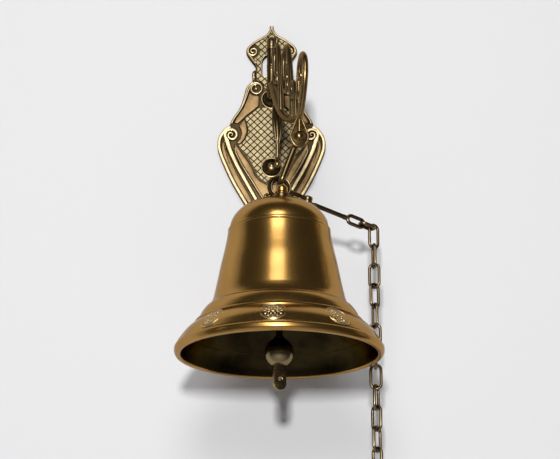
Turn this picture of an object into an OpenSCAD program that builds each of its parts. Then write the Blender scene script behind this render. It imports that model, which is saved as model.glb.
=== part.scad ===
// Wall bell: a cast plate, a swinging scroll bracket, a hanging hook, a bell and its pull chain.
// Millimetres. X is to the right, +Y goes into the wall, Z is up.
// The origin is the middle of the plate's flat back, which lies on the wall at Y = 0.
// The object stands out from the wall towards -Y.

/* [Wall plate] */
// Width across the big side volutes
plate_w = 86; // [80:0.5:110]
// Height from the bottom tip to the top tip
plate_h = 178; // [165:1:200]
// Thickness of the plate between its raised parts
plate_t = 4.5; // [3:0.5:7]
// Height of the raised parts above the face
relief_h = 1.4; // [0.6:0.1:2.5]
// Width of the raised rim
rim_w = 2.2; // [1.2:0.1:3.5]
// Width of the keyhole
keyhole_w = 15; // [10:0.5:17]
// Height of the keyhole
keyhole_h = 19; // [17:0.5:22]
// Depth of the keyhole's middle below the plate's top
keyhole_drop = 34.5; // [33:0.5:37]
// Diameter of the lower screw hole
screw_hole_d = 5; // [3.5:0.1:6.5]
// Depth of the lower screw hole below the origin
screw_hole_drop = 68; // [62:1:74]
// Diameter of the domed bosses
boss_d = 17; // [14:0.5:19]
// Height of the domed bosses above the plate
boss_h = 5.5; // [4:0.5:5.5]
// Height of the upper boss above the origin
upper_boss_z = 25; // [22:0.5:28]
// Depth of the lower boss below the origin
lower_boss_drop = 33; // [28:0.5:38]

/* [Hinge] */
// Diameter of the hinge pin
pin_d = 4; // [3:0.1:5]
// Wall round the pin in the lugs and in the post
pin_wall = 1.8; // [1.4:0.1:2.4]
// Distance from the wall to the hinge axis
hinge_out = 14; // [13:0.5:18]
// Depth of the upper hinge lug below the plate's top
upper_lug_drop = 20; // [18:0.5:22]
// Height of each lug
lug_h = 6; // [4:0.5:8]
// Running clearance on the radius of every turning pin
pin_play = 0.05; // [0.02:0.01:0.1]
// Gap at each end of a turning part
end_play = 0.3; // [0.2:0.05:0.6]
// Angle that the bracket stands turned to the right
swing = 13; // [-20:1:30]

/* [Bracket] */
// Distance from the hinge axis to the middle of the palm
arm_reach = 93; // [90:0.5:100]
// Diameter of the main arm
arm_d = 6.4; // [5:0.2:8]
// Diameter of the scroll bars
scroll_d = 4.4; // [3.2:0.2:5.2]
// Diameter of the front scroll bar
front_d = 4.8; // [3.6:0.2:5.6]
// Diameter of the balls that end the scrolls
scroll_ball_d = 6; // [5.4:0.2:7]
// Length of the drop finial
finial_l = 9; // [7:0.5:12]
// Diameter of the drop finial
finial_d = 4.8; // [4:0.2:6]
// Width of the palm
palm_w = 15; // [13:0.5:17]
// Thickness of the palm
palm_t = 3; // [2.4:0.1:4]
// Depth of the palm rivet below the origin
rivet_drop = 45; // [43:0.5:47]
// Diameter of the palm rivet
rivet_d = 4; // [3:0.1:4.6]
// Diameter of the rivet's domed head
rivet_head_d = 6.4; // [5.4:0.2:8]

/* [Hanging hook] */
// Length from the rivet to the bottom of the hook
hook_l = 37.6; // [35:0.1:44]
// Diameter of the rod
rod_d = 5.3; // [4.8:0.1:6]
// Diameter of the bent hook
hook_d = 4.4; // [3.6:0.1:4.6]
// Outer diameter of the eye on the rivet
eye_d = 9.2; // [8.4:0.2:10]
// Thickness of the eye
eye_t = 4.6; // [4:0.1:5.4]
// Angle that the hook hangs to the left of plumb
lean = 20.25; // [0:0.25:24]

/* [Yoke] */
// Hole of the hanging ring
ring_hole_d = 10.2; // [9.4:0.1:11]
// Thickness of the hanging ring
ring_t = 4; // [3.6:0.1:4.2]
// Clearance between the hook and what hangs on it
hook_play = 0.3; // [0.2:0.05:0.5]
// Thickness of the yoke's foot
foot_t = 3; // [2.4:0.1:3.4]
// Width of the yoke's foot
foot_w = 11; // [9:0.5:12]
// Distance of each stud in front of and behind the bell's axis
stud_offset = 8; // [7.6:0.1:8.6]
// Diameter of the studs
stud_d = 4; // [3:0.1:4.4]
// Diameter of the cap nuts
nut_d = 9; // [7:0.2:9.4]
// Height of the cap nuts
nut_h = 7.2; // [6.6:0.2:8.4]

/* [Bell] */
// Diameter at the mouth
mouth_d = 150; // [140:1:153]
// Height from the mouth to the top of the crown
bell_h = 116; // [108:0.5:124]
// Diameter below the shoulder line
shoulder_d = 75; // [72:0.5:78]
// Depth of the shoulder line below the crown
shoulder_drop = 23.5; // [22:0.5:27]
// Wall thickness at the waist
bell_wall = 3.4; // [2.6:0.1:4.2]
// Wall thickness at the lip
lip_wall = 4.6; // [3.8:0.1:5.5]
// Number of round medallions on the flare
medallions = 9; // [4:1:10]
// Diameter of the medallions
medallion_d = 18.5; // [12:0.5:18.5]

/* [Clapper] */
// Depth of the clapper pin below the crown's top
clapper_pin_drop = 13; // [12.5:0.5:15]
// Diameter of the clapper pin
clapper_pin_d = 3; // [2.4:0.1:3.4]
// Height of the ball's middle above the mouth
ball_z = 2.5; // [-4:0.5:8]
// Diameter of the ball
ball_d = 21; // [16:0.5:22]
// Diameter of the shank
shank_d = 5; // [4:0.2:6]
// Width of the flat tongue under the ball
tongue_w = 9.8; // [8:0.2:12]
// Thickness of the tongue
tongue_t = 3.2; // [2:0.1:3.6]
// Length of the tongue below the ball
tongue_l = 17.2; // [15:0.2:24]
// Hole in the tongue
tongue_hole_d = 3.2; // [2.4:0.1:4]

/* [Lever] */
// Angle of the lever behind the bracket's crosswise line
lever_turn = 17; // [12:1:22]
// Slope of the lever below level
lever_slope = 11; // [9:0.5:12]
// Distance from the bell's axis to the lever rivet
lever_root = 24; // [22:0.5:26]
// Gap between the chain and the bell's lip
lip_gap = 1.8; // [1.2:0.1:3]
// Diameter of the lever rod
lever_d = 3.9; // [3.2:0.1:4.4]
// Wire of both lever loops
loop_wire = 2.8; // [2.4:0.1:3]
// Length of the inner lever loop
inner_loop_l = 17; // [15:0.5:20]
// Length of the outer lever loop
outer_loop_l = 14.5; // [13:0.5:18]
// Width of both lever loops
loop_w = 9; // [8.6:0.1:10]

/* [Chain] */
// Number of links
links = 14; // [12:1:16]
// Wire of the links
link_wire = 2.3; // [1.8:0.1:2.4]
// Length of a link outside
link_l = 20.3; // [18:0.1:22]
// Width of a link outside
link_w = 9.8; // [9:0.1:10.6]
// Gap that keeps a link off the one it hangs on
link_play = 0.3; // [0.2:0.05:0.4]
// Outer diameter of the pull ring
pull_ring_d = 30; // [22:1:40]
// Wire of the pull ring
pull_ring_wire = 2.6; // [2:0.1:2.8]

/* [Hidden] */
$fn = 64;
brass = "#a98445";
dark_brass = "#7d6136";
pale_brass = "#c6a869";
steel_brass = "#8f7140";

// The plate's right half as [half width, height], drawn for a plate of drawn_w by drawn_h.
drawn_w = 86;
drawn_h = 178;
tip_edge = [[0, 89], [1.6, 86.4], [4.8, 81.4], [13.7, 75.8], [19.4, 70.4], [20.4, 65.6], [17, 59.6],
    [13.4, 54.6], [12.8, 50.6]];
bead_edge = [[14.9, 49.6], [15.8, 45.4], [15, 41.4]];
shoulder_edge = [[15.6, 40.6], [20.2, 35.6], [22.6, 26.6], [25.6, 17.6], [31.8, 7.6], [33.4, 2.4]];
flank_edge = [[37.8, -0.6], [42, -7.4], [43, -15], [40.8, -24], [32.4, -43.6], [22.2, -62], [14.6, -74.6],
    [7.6, -82]];
foot_edge = [[3.4, -84.6], [0, -89]];
edge_steps = 4;

// The bracket's bars as [distance from the hinge, height], for the drawn reach and heights.
drawn_reach = 93;
drawn_rivet_z = -45;
drawn_boss_z = 25;
arm_line = [[0, 36], [8, 25], [20, 10], [36, -5], [54, -16], [73, -24], [94, -30]];
tail_line = [[12, 18], [16.5, 5], [20.5, -10], [22, -22], [20.5, -35.5]];
rear_line = [[33, -2], [32.5, 12], [30.5, 28], [28, 44], [24.6, 55], [19, 60], [13, 57], [10.4, 49],
    [10.6, 38], [14, 29], [19, 28], [20.6, 33]];
middle_line = [[71, -23], [69.5, -8], [67, 8], [64, 24], [60, 37], [54, 44], [47, 43], [42.6, 35],
    [42, 24], [45, 12], [50.6, 7], [55, 10.6], [54.6, 16]];
bud_line = [[83, -27], [82.4, -16], [80.6, -4], [76.6, 5], [70.6, 6], [68.4, 0], [71, -6], [74.6, -5]];
front_line = [[93, -31], [100, -25], [108, -13], [112.4, 0], [110.6, 11], [104, 16.4], [97, 12.6], [93, 4],
    [91.4, -7], [94, -15.6], [99.6, -15.6], [101.6, -8], [100, -1]];
bar_steps = 3;
bar_sides = 12;
ball_steps = 4;
leaf_foot = [18, 57];
leaf_lean = 6;
leaf_l = 12;

// Heights and places that follow from the driving sizes.
lower_boss_z = -lower_boss_drop;
keyhole_z = plate_h / 2 - keyhole_drop;
upper_lug_z = plate_h / 2 - upper_lug_drop;
keyhole_corner = 2;
post_r = pin_d / 2 + pin_wall;
post_bottom = upper_boss_z + lug_h / 2 + end_play;
post_top = upper_lug_z - lug_h / 2 - end_play;
collar_r = post_r + 0.5;
collar_h = 2;
pin_head_h = 2.6;
pin_rivet_h = 1.2;
rivet_z = -rivet_drop;
palm_rise = 17.5;
palm_sink = 2.6;
palm_tip_r = 2.2;
palm_rib_r = 1.3;
palm_back = arm_reach - palm_t / 2;
rod_reach = palm_back - end_play - eye_t / 2;
hook_bend = hook_play + ring_t / 2 + hook_d / 2 + 0.2;
bell_reach = rod_reach - hook_bend;
washer_t = 1;
rivet_back = rod_reach - eye_t / 2 - end_play - washer_t;
bell_shift = -hook_l * sin(lean);
hook_z = rivet_z - hook_l * cos(lean);
ring_z = hook_z + hook_d / 2 + hook_play - ring_hole_d / 2;
ring_r = (ring_hole_d + ring_t) / 2;
ring_lift = 1.5;
crown_z = ring_z - ring_r - ring_t / 2 - ring_lift;
mouth_z = crown_z - bell_h;
foot_l = 2 * stud_offset + nut_d + 1;
fit_gap = 0.05;

// Bell section, heights above the mouth.
shoulder_z = bell_h - shoulder_drop;
crown_land_r = foot_l / 2 + 0.5;
crown_r = shoulder_d / 2 - 1.4;
crown_rise = shoulder_drop - 1.2;
crown_full = crown_rise / sqrt(1 - pow(crown_land_r / crown_r, 2));
band_top = 21.4;
band_bottom = 7;
band_bulge = 1.2;
band_top_r = mouth_d / 2 - 14.1;
band_bottom_r = mouth_d / 2 - 2.2;
waist_r = shoulder_d / 2 + 9.7;
waist_z = 42.5;
// Waist curve as [share of the way out, share of the way down] from the shoulder to the flare.
waist_shape = [[0, 0], [0.09, 0.15], [0.29, 0.335], [0.505, 0.52], [0.69, 0.71], [0.885, 0.895], [1, 1]];
crown_steps = 14;

clapper_pin_z = bell_h - clapper_pin_drop;
clapper_eye_wall = 2.5;
clapper_neck_h = 5;
clevis_gap = 4.8;
clevis_lug_t = 2.2;
clevis_plate_t = 2;
stud_head_h = 2;
tongue_let = 3;
tongue_turn = 10;
crown_inner_z = bell_h - bell_wall;

lever_hinge_z = ring_z - mouth_z - 5.8;
lever_lap = 2.6;
yoke_arm_d = 3.7;
lever_eye_d = 7.2;
lever_rivet_d = 2.6;
lever_neck_l = 7;
lever_neck_d = 2.5;
// The chain hangs clear of the lip, and the lever reaches to where it hangs.
hang_r = mouth_d / 2 + link_w / 2 + lip_gap;
hang_at = (hang_r - lever_root + lever_lap / 2 * sin(lever_slope)) / cos(lever_slope);
outer_loop_at = hang_at - outer_loop_l + loop_wire / 2;
loop_let = 0.1;
lever_l = outer_loop_at - inner_loop_l + 2 * loop_wire - loop_let;
hang_z = mouth_z + lever_hinge_z - hang_at * sin(lever_slope) - lever_lap / 2 * cos(lever_slope);
link_pitch = link_l - 2 * link_wire - link_play;
first_link_z = hang_z + loop_wire / 2 + link_play + link_wire;
// Turn of each link about the chain from the one above it.
link_twist = [0, 70, 60, 60, 70, 75, 85, 90, 65, 75, 90, 90, 65, 65, 90, 90];
pull_ring_z = first_link_z - (links - 1) * link_pitch - link_l + link_wire + link_play + pull_ring_wire;

link_names = [for (i = [1:links]) str("chain_link_", i < 10 ? "0" : "", i)];

// Curves

// Catmull-Rom point at share t between p1 and p2.
function spline_point(p0, p1, p2, p3, t) =
    0.5 * ((2 * p1) + (p2 - p0) * t + (2 * p0 - 5 * p1 + 4 * p2 - p3) * t * t
        + (3 * p1 - p0 - 3 * p2 + p3) * t * t * t);

// A smooth run through points, with steps points to each span.
function smooth(points, steps) =
    let (last = len(points) - 1)
    concat(
        [for (i = [0:last - 1])
            for (k = [0:steps - 1])
                spline_point(points[max(i - 1, 0)], points[i], points[i + 1], points[min(i + 2, last)],
                    k / steps)],
        [points[last]]);

function scaled(points, kx, kz) = [for (p = points) [p[0] * kx, p[1] * kz]];
function mirrored(points) = [for (i = [len(points) - 1:-1:0]) [-points[i][0], points[i][1]]];
function running_sum(list, i) = i == 0 ? list[0] : list[i] + running_sum(list, i - 1);

plate_half = scaled(
    concat(smooth(tip_edge, edge_steps), smooth(bead_edge, edge_steps), smooth(shoulder_edge, edge_steps),
        smooth(flank_edge, edge_steps), smooth(foot_edge, edge_steps)),
    plate_w / drawn_w, plate_h / drawn_h);
plate_outline = concat(plate_half, mirrored([for (i = [1:len(plate_half) - 2]) plate_half[i]]));

// Frames

// Children drawn in XY stand on the wall plate: their X stays X, their Y becomes Z, their Z comes out.
module on_wall(out = 0) {
    translate([0, -out, 0]) rotate([90, 0, 0]) children();
}

// Children drawn with X along the arm and Y up, in the plane of the bracket.
module in_bracket() {
    translate([0, -hinge_out, 0]) rotate([0, 0, swing - 90]) rotate([90, 0, 0]) children();
}

// Children drawn about the bell's axis, with Z up from the mouth and -Y along the arm.
module at_bell(z = 0) {
    translate([0, -hinge_out, 0])
        rotate([0, 0, swing])
            translate([bell_shift, -bell_reach, mouth_z + z])
                children();
}

// Children drawn from the lever rivet, with X along the lever.
module at_lever(z = 0) {
    at_bell() rotate([0, 0, lever_turn])
        translate([lever_root, 0, lever_hinge_z]) rotate([0, lever_slope, 0])
        translate([0, 0, z]) children();
}

// Bars

// States [x, y, heading] at each point of a path.
function headings(path) =
    let (last = len(path) - 1)
    [for (i = [0:last])
        let (before = path[max(i - 1, 0)], after = path[min(i + 1, last)])
        [path[i][0], path[i][1], atan2(after[1] - before[1], after[0] - before[0])]];

// Rings [x, y, heading, radius] that close a bar with a ball.
function ball_rings(state, bar_r, ball_r) =
    let (ahead = sqrt(ball_r * ball_r - bar_r * bar_r), first = -asin(ahead / ball_r))
    [for (k = [1:ball_steps])
        let (a = first + (84 - first) * k / ball_steps, reach = ahead + ball_r * sin(a))
        [state[0] + reach * cos(state[2]), state[1] + reach * sin(state[2]), state[2], ball_r * cos(a)]];

// A round bar in the XY plane along a path, from diameter d to tip_d, with a ball unless ball_d is 0.
module bar(path, d, tip_d, ball_d = 0) {
    states = headings(path);
    last = len(states) - 1;
    run = [for (i = [0:last]) let (r = (d + (tip_d - d) * i / last) / 2)
        [states[i][0], states[i][1], states[i][2], r]];
    rings = ball_d == 0 ? run : concat(run, ball_rings(states[last], tip_d / 2, ball_d / 2));
    points = [for (ring = rings) for (k = [0:bar_sides - 1])
        let (a = 360 * k / bar_sides)
        [ring[0] - ring[3] * cos(a) * sin(ring[2]), ring[1] + ring[3] * cos(a) * cos(ring[2]),
            ring[3] * sin(a)]];
    sides = [for (i = [0:len(rings) - 2]) for (k = [0:bar_sides - 1])
        let (n = (k + 1) % bar_sides, a = i * bar_sides, b = a + bar_sides)
        each [[a + k, a + n, b + n], [a + k, b + n, b + k]]];
    polyhedron(
        points,
        concat(sides, [[for (k = [bar_sides - 1:-1:0]) k]],
            [[for (k = [0:bar_sides - 1]) (len(rings) - 1) * bar_sides + k]]));
}

// A closed loop with straight sides in the XY plane, its near end at the origin, running along +X.
module wire_loop(l, w, wire) {
    r = (w - wire) / 2;
    straight = l - w;
    for (end = [0, 1])
        translate([w / 2 + end * straight, 0, 0])
            rotate_extrude(angle = 180, start = end ? -90 : 90) translate([r, 0]) circle(d = wire);
    for (side = [-1, 1])
        translate([w / 2, side * r, 0]) rotate([0, 90, 0]) cylinder(d = wire, h = straight);
}

// A cylinder with a domed end, standing on the XY plane.
module domed_post(d, h, dome_h) {
    cylinder(d = d, h = h - dome_h);
    translate([0, 0, h - dome_h]) dome(d, dome_h);
}

// A spherical cap of base diameter d and height h on the XY plane.
module dome(d, h) {
    ball_r = (pow(d / 2, 2) + h * h) / (2 * h);
    intersection() {
        translate([0, 0, h - ball_r]) sphere(r = ball_r);
        translate([0, 0, h / 2]) cube([d + 1, d + 1, h], center = true);
    }
}

// Wall plate

module plate_shape() {
    polygon(plate_outline);
}

module keyhole_shape() {
    arch_r = keyhole_w / 2;
    translate([0, keyhole_z]) {
        translate([0, keyhole_h / 2 - arch_r]) circle(r = arch_r);
        translate([-arch_r, keyhole_corner - keyhole_h / 2])
            square([keyhole_w, keyhole_h - arch_r - keyhole_corner]);
        translate([keyhole_corner - arch_r, -keyhole_h / 2])
            square([keyhole_w - 2 * keyhole_corner, keyhole_corner]);
        for (side = [-1, 1])
            translate([side * (arch_r - keyhole_corner), keyhole_corner - keyhole_h / 2])
                circle(r = keyhole_corner);
    }
}

module volute(x, z, d) {
    for (side = [-1, 1])
        translate([side * x, z]) circle(d = d);
}

module wall_plate() {
    color(brass)
        difference() {
            union() {
                on_wall() linear_extrude(plate_t) plate_shape();
                on_wall(plate_t) linear_extrude(relief_h) {
                    difference() {
                        plate_shape();
                        offset(delta = -rim_w) plate_shape();
                    }
                    intersection() {
                        plate_shape();
                        union() {
                            volute(plate_w * 0.382, -3.5, 14);
                            volute(13.6, 34.5, 9);
                            volute(14.2, 67, 9);
                        }
                    }
                }
            }
            on_wall(-1) linear_extrude(plate_t + relief_h + 2) keyhole_shape();
            on_wall(-1) translate([0, -screw_hole_drop, 0]) cylinder(d = screw_hole_d, h = plate_t + 2);
            for (z = [upper_lug_z, upper_boss_z, lower_boss_z])
                on_wall(-1) translate([0, z, 0]) cylinder(d = stud_d, h = plate_t + 2);
        }
}

// A tenon through the plate, flush with its back.
module plate_tenon(z) {
    on_wall() translate([0, z, 0]) cylinder(d = stud_d, h = plate_t);
}

// An eye for the hinge pin with its neck back to the plate.
module lug_eye(z) {
    difference() {
        union() {
            translate([0, -hinge_out, z - lug_h / 2]) cylinder(r = post_r, h = lug_h);
            translate([-post_r * 0.75, -hinge_out, z - lug_h / 2])
                cube([post_r * 1.5, hinge_out - plate_t, lug_h]);
        }
        translate([0, -hinge_out, z - lug_h]) cylinder(d = pin_d, h = 2 * lug_h);
    }
}

module upper_hinge_lug() {
    color(dark_brass) {
        plate_tenon(upper_lug_z);
        lug_eye(upper_lug_z);
    }
}

module boss_dome(z) {
    on_wall(plate_t) translate([0, z, 0]) {
        cylinder(d = boss_d, h = 1);
        translate([0, 0, 1]) dome(boss_d - 1.6, boss_h - 1);
    }
}

module lower_hinge_lug() {
    color(dark_brass)
        difference() {
            union() {
                plate_tenon(upper_boss_z);
                boss_dome(upper_boss_z);
                lug_eye(upper_boss_z);
            }
            translate([0, -hinge_out, upper_boss_z - boss_d]) cylinder(d = pin_d, h = 2 * boss_d);
        }
}

module lower_boss() {
    color(dark_brass) {
        plate_tenon(lower_boss_z);
        boss_dome(lower_boss_z);
    }
}

// A turned pin: a riveted end below the lower lug, the shank, and a domed cap on the upper lug.
module hinge_pin() {
    bottom = upper_boss_z - lug_h / 2;
    top = upper_lug_z + lug_h / 2;
    rivet_r = pin_d / 2 + 0.8;
    color(steel_brass)
        translate([0, -hinge_out, 0]) rotate_extrude()
            polygon(concat(
                [for (a = [90:-15:0]) [rivet_r * cos(a), bottom - 0.6 - pin_rivet_h * sin(a)]],
                [[rivet_r, bottom], [pin_d / 2, bottom], [pin_d / 2, top], [post_r, top]],
                [for (a = [0:15:90]) [post_r * cos(a), top + 0.8 + (pin_head_h - 0.8) * sin(a)]]));
}

// Bracket

// The post before it is bored: a sleeve with a collar at each end.
module post_blank() {
    translate([0, -hinge_out, post_bottom]) cylinder(r = post_r, h = post_top - post_bottom);
    for (z = [post_bottom, post_top - collar_h])
        translate([0, -hinge_out, z]) cylinder(r = collar_r, h = collar_h);
}

module bracket_post() {
    color(dark_brass)
        difference() {
            post_blank();
            translate([0, -hinge_out, post_bottom - 1])
                cylinder(d = pin_d + 2 * pin_play, h = post_top - post_bottom + 2);
        }
}

// The bracket's bars are drawn as [distance from the hinge, height] for the drawn reach and heights, and
// follow the real reach, the upper boss and the rivet.
function arm_point(p) = [
    p[0] * arm_reach / drawn_reach,
    rivet_z + (p[1] - drawn_rivet_z) * (upper_boss_z - rivet_z) / (drawn_boss_z - drawn_rivet_z)];
function arm_path(points) = smooth([for (p = points) arm_point(p)], bar_steps);

module bracket_bar(points, d, tip_d, ball_d = 0) {
    in_bracket() bar(arm_path(points), d, tip_d, ball_d);
}

module main_arm() {
    color(brass)
        difference() {
            bracket_bar(arm_line, arm_d, arm_d * 0.86);
            translate([0, -hinge_out, post_bottom - 2 * arm_d]) cylinder(r = post_r, h = 6 * arm_d);
            post_blank();
            in_bracket() translate([palm_back, rivet_z - 50, -50]) cube([50, 100, 100]);
        }
}

module tail_scroll() {
    color(dark_brass) bracket_bar(tail_line, scroll_d, scroll_d * 0.6);
}

module drop_finial() {
    top = arm_point(tail_line[len(tail_line) - 1]);
    color(brass)
        in_bracket() translate([top[0], top[1] + 1, 0]) rotate([90, 0, 0]) rotate_extrude()
            polygon([[0, 0], [1.8, 0.2], [1.4, 1.6], [finial_d * 0.4, finial_l * 0.38],
                [finial_d / 2, finial_l * 0.6], [finial_d * 0.38, finial_l * 0.88], [0, finial_l]]);
}

module rear_scroll() {
    color(dark_brass) bracket_bar(rear_line, scroll_d, scroll_d * 0.75, scroll_ball_d);
}

module middle_scroll() {
    color(brass) bracket_bar(middle_line, scroll_d, scroll_d * 0.75, scroll_ball_d);
}

module bud_scroll() {
    color(dark_brass) bracket_bar(bud_line, scroll_d * 0.9, scroll_d * 0.6, scroll_ball_d * 0.9);
}

module front_scroll() {
    color(pale_brass) bracket_bar(front_line, front_d, front_d * 0.7, scroll_ball_d);
}

module crest_leaf() {
    foot = arm_point(leaf_foot);
    color(dark_brass)
        in_bracket() translate([foot[0], foot[1], 0]) rotate([-90, 0, leaf_lean]) rotate_extrude()
            polygon([[0, 0], [2.4, 1], [3, 4], [1.8, 8], [0, leaf_l]]);
}

module palm() {
    color(brass)
        difference() {
            union() {
                in_bracket() translate([palm_back, rivet_z, 0]) rotate([0, 90, 0])
                    linear_extrude(palm_t) hull() {
                        circle(d = palm_w);
                        translate([0, -palm_sink]) circle(r = palm_w / 2 - 1.2);
                        translate([0, palm_rise - palm_tip_r]) circle(r = palm_tip_r);
                    }
                in_bracket()
                    translate([palm_back + palm_t, rivet_z + rivet_head_d / 2 + 0.6, 0]) rotate([-90, 0, 0])
                    cylinder(r = palm_rib_r, h = palm_rise - rivet_head_d / 2 - 2);
            }
            in_bracket() translate([arm_reach - palm_t, rivet_z, 0]) rotate([0, 90, 0])
                cylinder(d = rivet_d, h = 2 * palm_t);
        }
}

module palm_rivet() {
    color(pale_brass)
        in_bracket() translate([0, rivet_z, 0]) {
            translate([rivet_back - 0.2, 0, 0]) rotate([0, 90, 0])
                cylinder(d = rivet_d, h = arm_reach + palm_t / 2 - rivet_back + 0.2);
            translate([arm_reach + palm_t / 2, 0, 0]) rotate([0, 90, 0]) dome(rivet_head_d, 2.4);
            translate([rivet_back, 0, 0]) rotate([0, -90, 0]) dome(rivet_head_d, 1.6);
        }
}

module rivet_washer() {
    color(dark_brass)
        in_bracket() translate([rivet_back, rivet_z, 0]) rotate([0, 90, 0])
            difference() {
                cylinder(d = eye_d - 1, h = washer_t);
                translate([0, 0, -1]) cylinder(d = rivet_d, h = washer_t + 2);
            }
}

// Hanging hook: X in its own frame runs along the arm, Z up, before it leans.
module hanging_hook() {
    bend_z = -hook_l + hook_bend;
    color(brass)
        translate([0, -hinge_out, rivet_z]) rotate([0, 0, swing]) translate([0, -rod_reach, 0])
            rotate([0, lean, 0]) {
                difference() {
                    union() {
                        rotate([90, 0, 0]) cylinder(d = eye_d, h = eye_t, center = true);
                        translate([0, 0, bend_z]) cylinder(d1 = hook_d, d2 = rod_d, h = 5);
                        translate([0, 0, bend_z + 5]) cylinder(d = rod_d, h = -bend_z - 5);
                    }
                    rotate([90, 0, 0]) cylinder(d = rivet_d + 2 * pin_play, h = 3 * eye_t, center = true);
                    for (side = [-1, 1])
                        translate([0, side * eye_t, 0]) rotate([90, 0, 0])
                            cylinder(d = palm_w + 4, h = eye_t, center = true);
                }
                translate([0, hook_bend, bend_z]) rotate([0, 90, 0])
                    rotate_extrude(angle = 180, start = -90) translate([hook_bend, 0]) circle(d = hook_d);
                translate([0, 2 * hook_bend, bend_z]) domed_post(hook_d, 4.5, 1.8);
            }
}

// Bell

function ellipse_z(r) = shoulder_z + 1.2 + crown_full * sqrt(max(0, 1 - pow(r / crown_r, 2)));
function waist_point(s) = [
    shoulder_d / 2 + (waist_r - shoulder_d / 2) * s[0],
    shoulder_z - 0.6 - (shoulder_z - 0.6 - waist_z) * s[1]];

function crown_point(i) =
    let (r = crown_r * cos(acos(crown_land_r / crown_r) * (1 - i / crown_steps)))
    [r, ellipse_z(r)];

bell_outer = concat(
    [[0, bell_h]],
    [for (i = [0:crown_steps]) crown_point(i)],
    [[shoulder_d / 2, shoulder_z + 0.6]],
    smooth([for (s = waist_shape) waist_point(s)], 3),
    smooth([[waist_r + 0.4, waist_z - 1.2], [waist_r + 1.2, waist_z - 3.6],
        [waist_r + 2.9, waist_z - 7]], 3),
    smooth([[band_top_r - 10.2, band_top + 13.5], [band_top_r - 7.5, band_top + 11.7],
        [band_top_r - 5.1, band_top + 8.4], [band_top_r - 3.4, band_top + 5],
        [band_top_r - 2.8, band_top + 3.2]], 3),
    [[band_top_r - 2.5, band_top + 2.7]],
    smooth([[band_top_r - 1.4, band_top + 2.6], [band_top_r - 0.3, band_top + 1.8],
        [band_top_r + 0.1, band_top + 0.8]], 3),
    smooth([[band_top_r, band_top], [band_top_r + 4.9, band_top - 4],
        [band_bottom_r - 3.1, band_bottom + 5.8], [band_bottom_r, band_bottom]], 4),
    smooth([[mouth_d / 2 - 1.4, band_bottom - 0.7], [mouth_d / 2, 4.4], [mouth_d / 2, 2.8],
        [mouth_d / 2 - 0.6, 1], [mouth_d / 2 - 1.6, 0]], 3));

inner_crown_r = crown_r - bell_wall;
function inner_crown_z(r) = shoulder_z + (crown_inner_z - shoulder_z)
    * sqrt(max(0, 1 - pow(r / inner_crown_r, 2))) / sqrt(1 - pow(crown_land_r / inner_crown_r, 2));
function inner_crown_point(i) =
    let (r = inner_crown_r * cos(i / crown_steps * acos(crown_land_r / inner_crown_r)))
    [r, inner_crown_z(r)];

bell_inner = concat(
    [[mouth_d / 2 - lip_wall, 0]],
    smooth([[mouth_d / 2 - lip_wall - 0.4, 1], [band_bottom_r - lip_wall - 0.4, band_bottom + 0.8],
        [band_bottom_r - lip_wall - 3.2, band_bottom + 5.2],
        [band_bottom_r - lip_wall - 5.6, band_bottom + 7.8]], 4),
    smooth([[band_bottom_r - lip_wall - 7, band_bottom + 8.2],
        [band_top_r - lip_wall + 0.3, band_top - 0.8],
        [band_top_r - lip_wall - 4.5, band_top + 6.2], [waist_r - bell_wall + 2.6, waist_z - 6.9],
        [waist_r - bell_wall, waist_z]], 3),
    [for (i = [len(waist_shape) - 2:-1:0]) waist_point(waist_shape[i]) - [bell_wall, 0]],
    [for (i = [0:crown_steps]) inner_crown_point(i)],
    [[0, crown_inner_z]]);

band_slope = atan2(band_bottom_r - band_top_r, band_top - band_bottom);
module medallion(turn) {
    rotate([0, 0, turn])
        translate([(band_top_r + band_bottom_r) / 2, 0, (band_top + band_bottom) / 2])
            rotate([0, 90 - band_slope, 0])
                translate([0, 0, band_bulge - 2.4]) cylinder(d = medallion_d, h = 2.7);
}

module bell_shell() {
    color(brass)
        at_bell()
            difference() {
                union() {
                    rotate_extrude($fn = 128) polygon(concat(bell_outer, bell_inner));
                    for (i = [0:medallions - 1])
                        medallion(-90 - swing + i * 360 / medallions);
                }
                for (side = [-1, 1])
                    translate([0, side * stud_offset, bell_h - 3 * bell_wall])
                        cylinder(d = stud_d, h = 4 * bell_wall);
            }
}

module yoke() {
    arm_end_z = lever_hinge_z + lever_lap / 2;
    color(brass) {
        at_bell(ring_z - mouth_z) rotate([90, 0, 0])
            rotate_extrude() translate([ring_r, 0]) circle(d = ring_t);
        at_bell(bell_h)
            difference() {
                union() {
                    linear_extrude(foot_t) {
                        square([foot_w, foot_l - foot_w], center = true);
                        for (side = [-1, 1])
                            translate([0, side * (foot_l - foot_w) / 2]) circle(d = foot_w);
                    }
                    translate([-foot_w / 2 - 4, 0, foot_t]) sphere(d = 4.4);
                    translate([-foot_w / 2 - 4, 0, foot_t]) rotate([0, 90, 0]) cylinder(d = 3.2, h = 6);
                }
                for (side = [-1, 1])
                    translate([0, side * stud_offset, -1]) cylinder(d = stud_d, h = foot_t + 2);
                translate([0, 0, ring_z - crown_z]) rotate([90, 0, 0])
                    cylinder(d = ring_hole_d, h = ring_t, center = true);
            }
        at_lever(lever_lap / 2)
            difference() {
                union() {
                    cylinder(d = lever_eye_d, h = lever_lap, center = true);
                    translate([-(lever_root - ring_r) / cos(lever_slope), 0, 0]) rotate([0, 90, 0])
                        cylinder(d1 = ring_t, d2 = yoke_arm_d, h = 6);
                    translate([6 - (lever_root - ring_r) / cos(lever_slope), 0, 0]) rotate([0, 90, 0])
                        cylinder(d = yoke_arm_d, h = (lever_root - ring_r) / cos(lever_slope) - 8);
                }
                cylinder(d = lever_rivet_d, h = 3 * lever_lap, center = true);
                for (side = [-1, 1])
                    translate([0, 0, side * lever_lap])
                        cylinder(d = lever_eye_d + 1, h = lever_lap, center = true);
            }
    }
}

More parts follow.
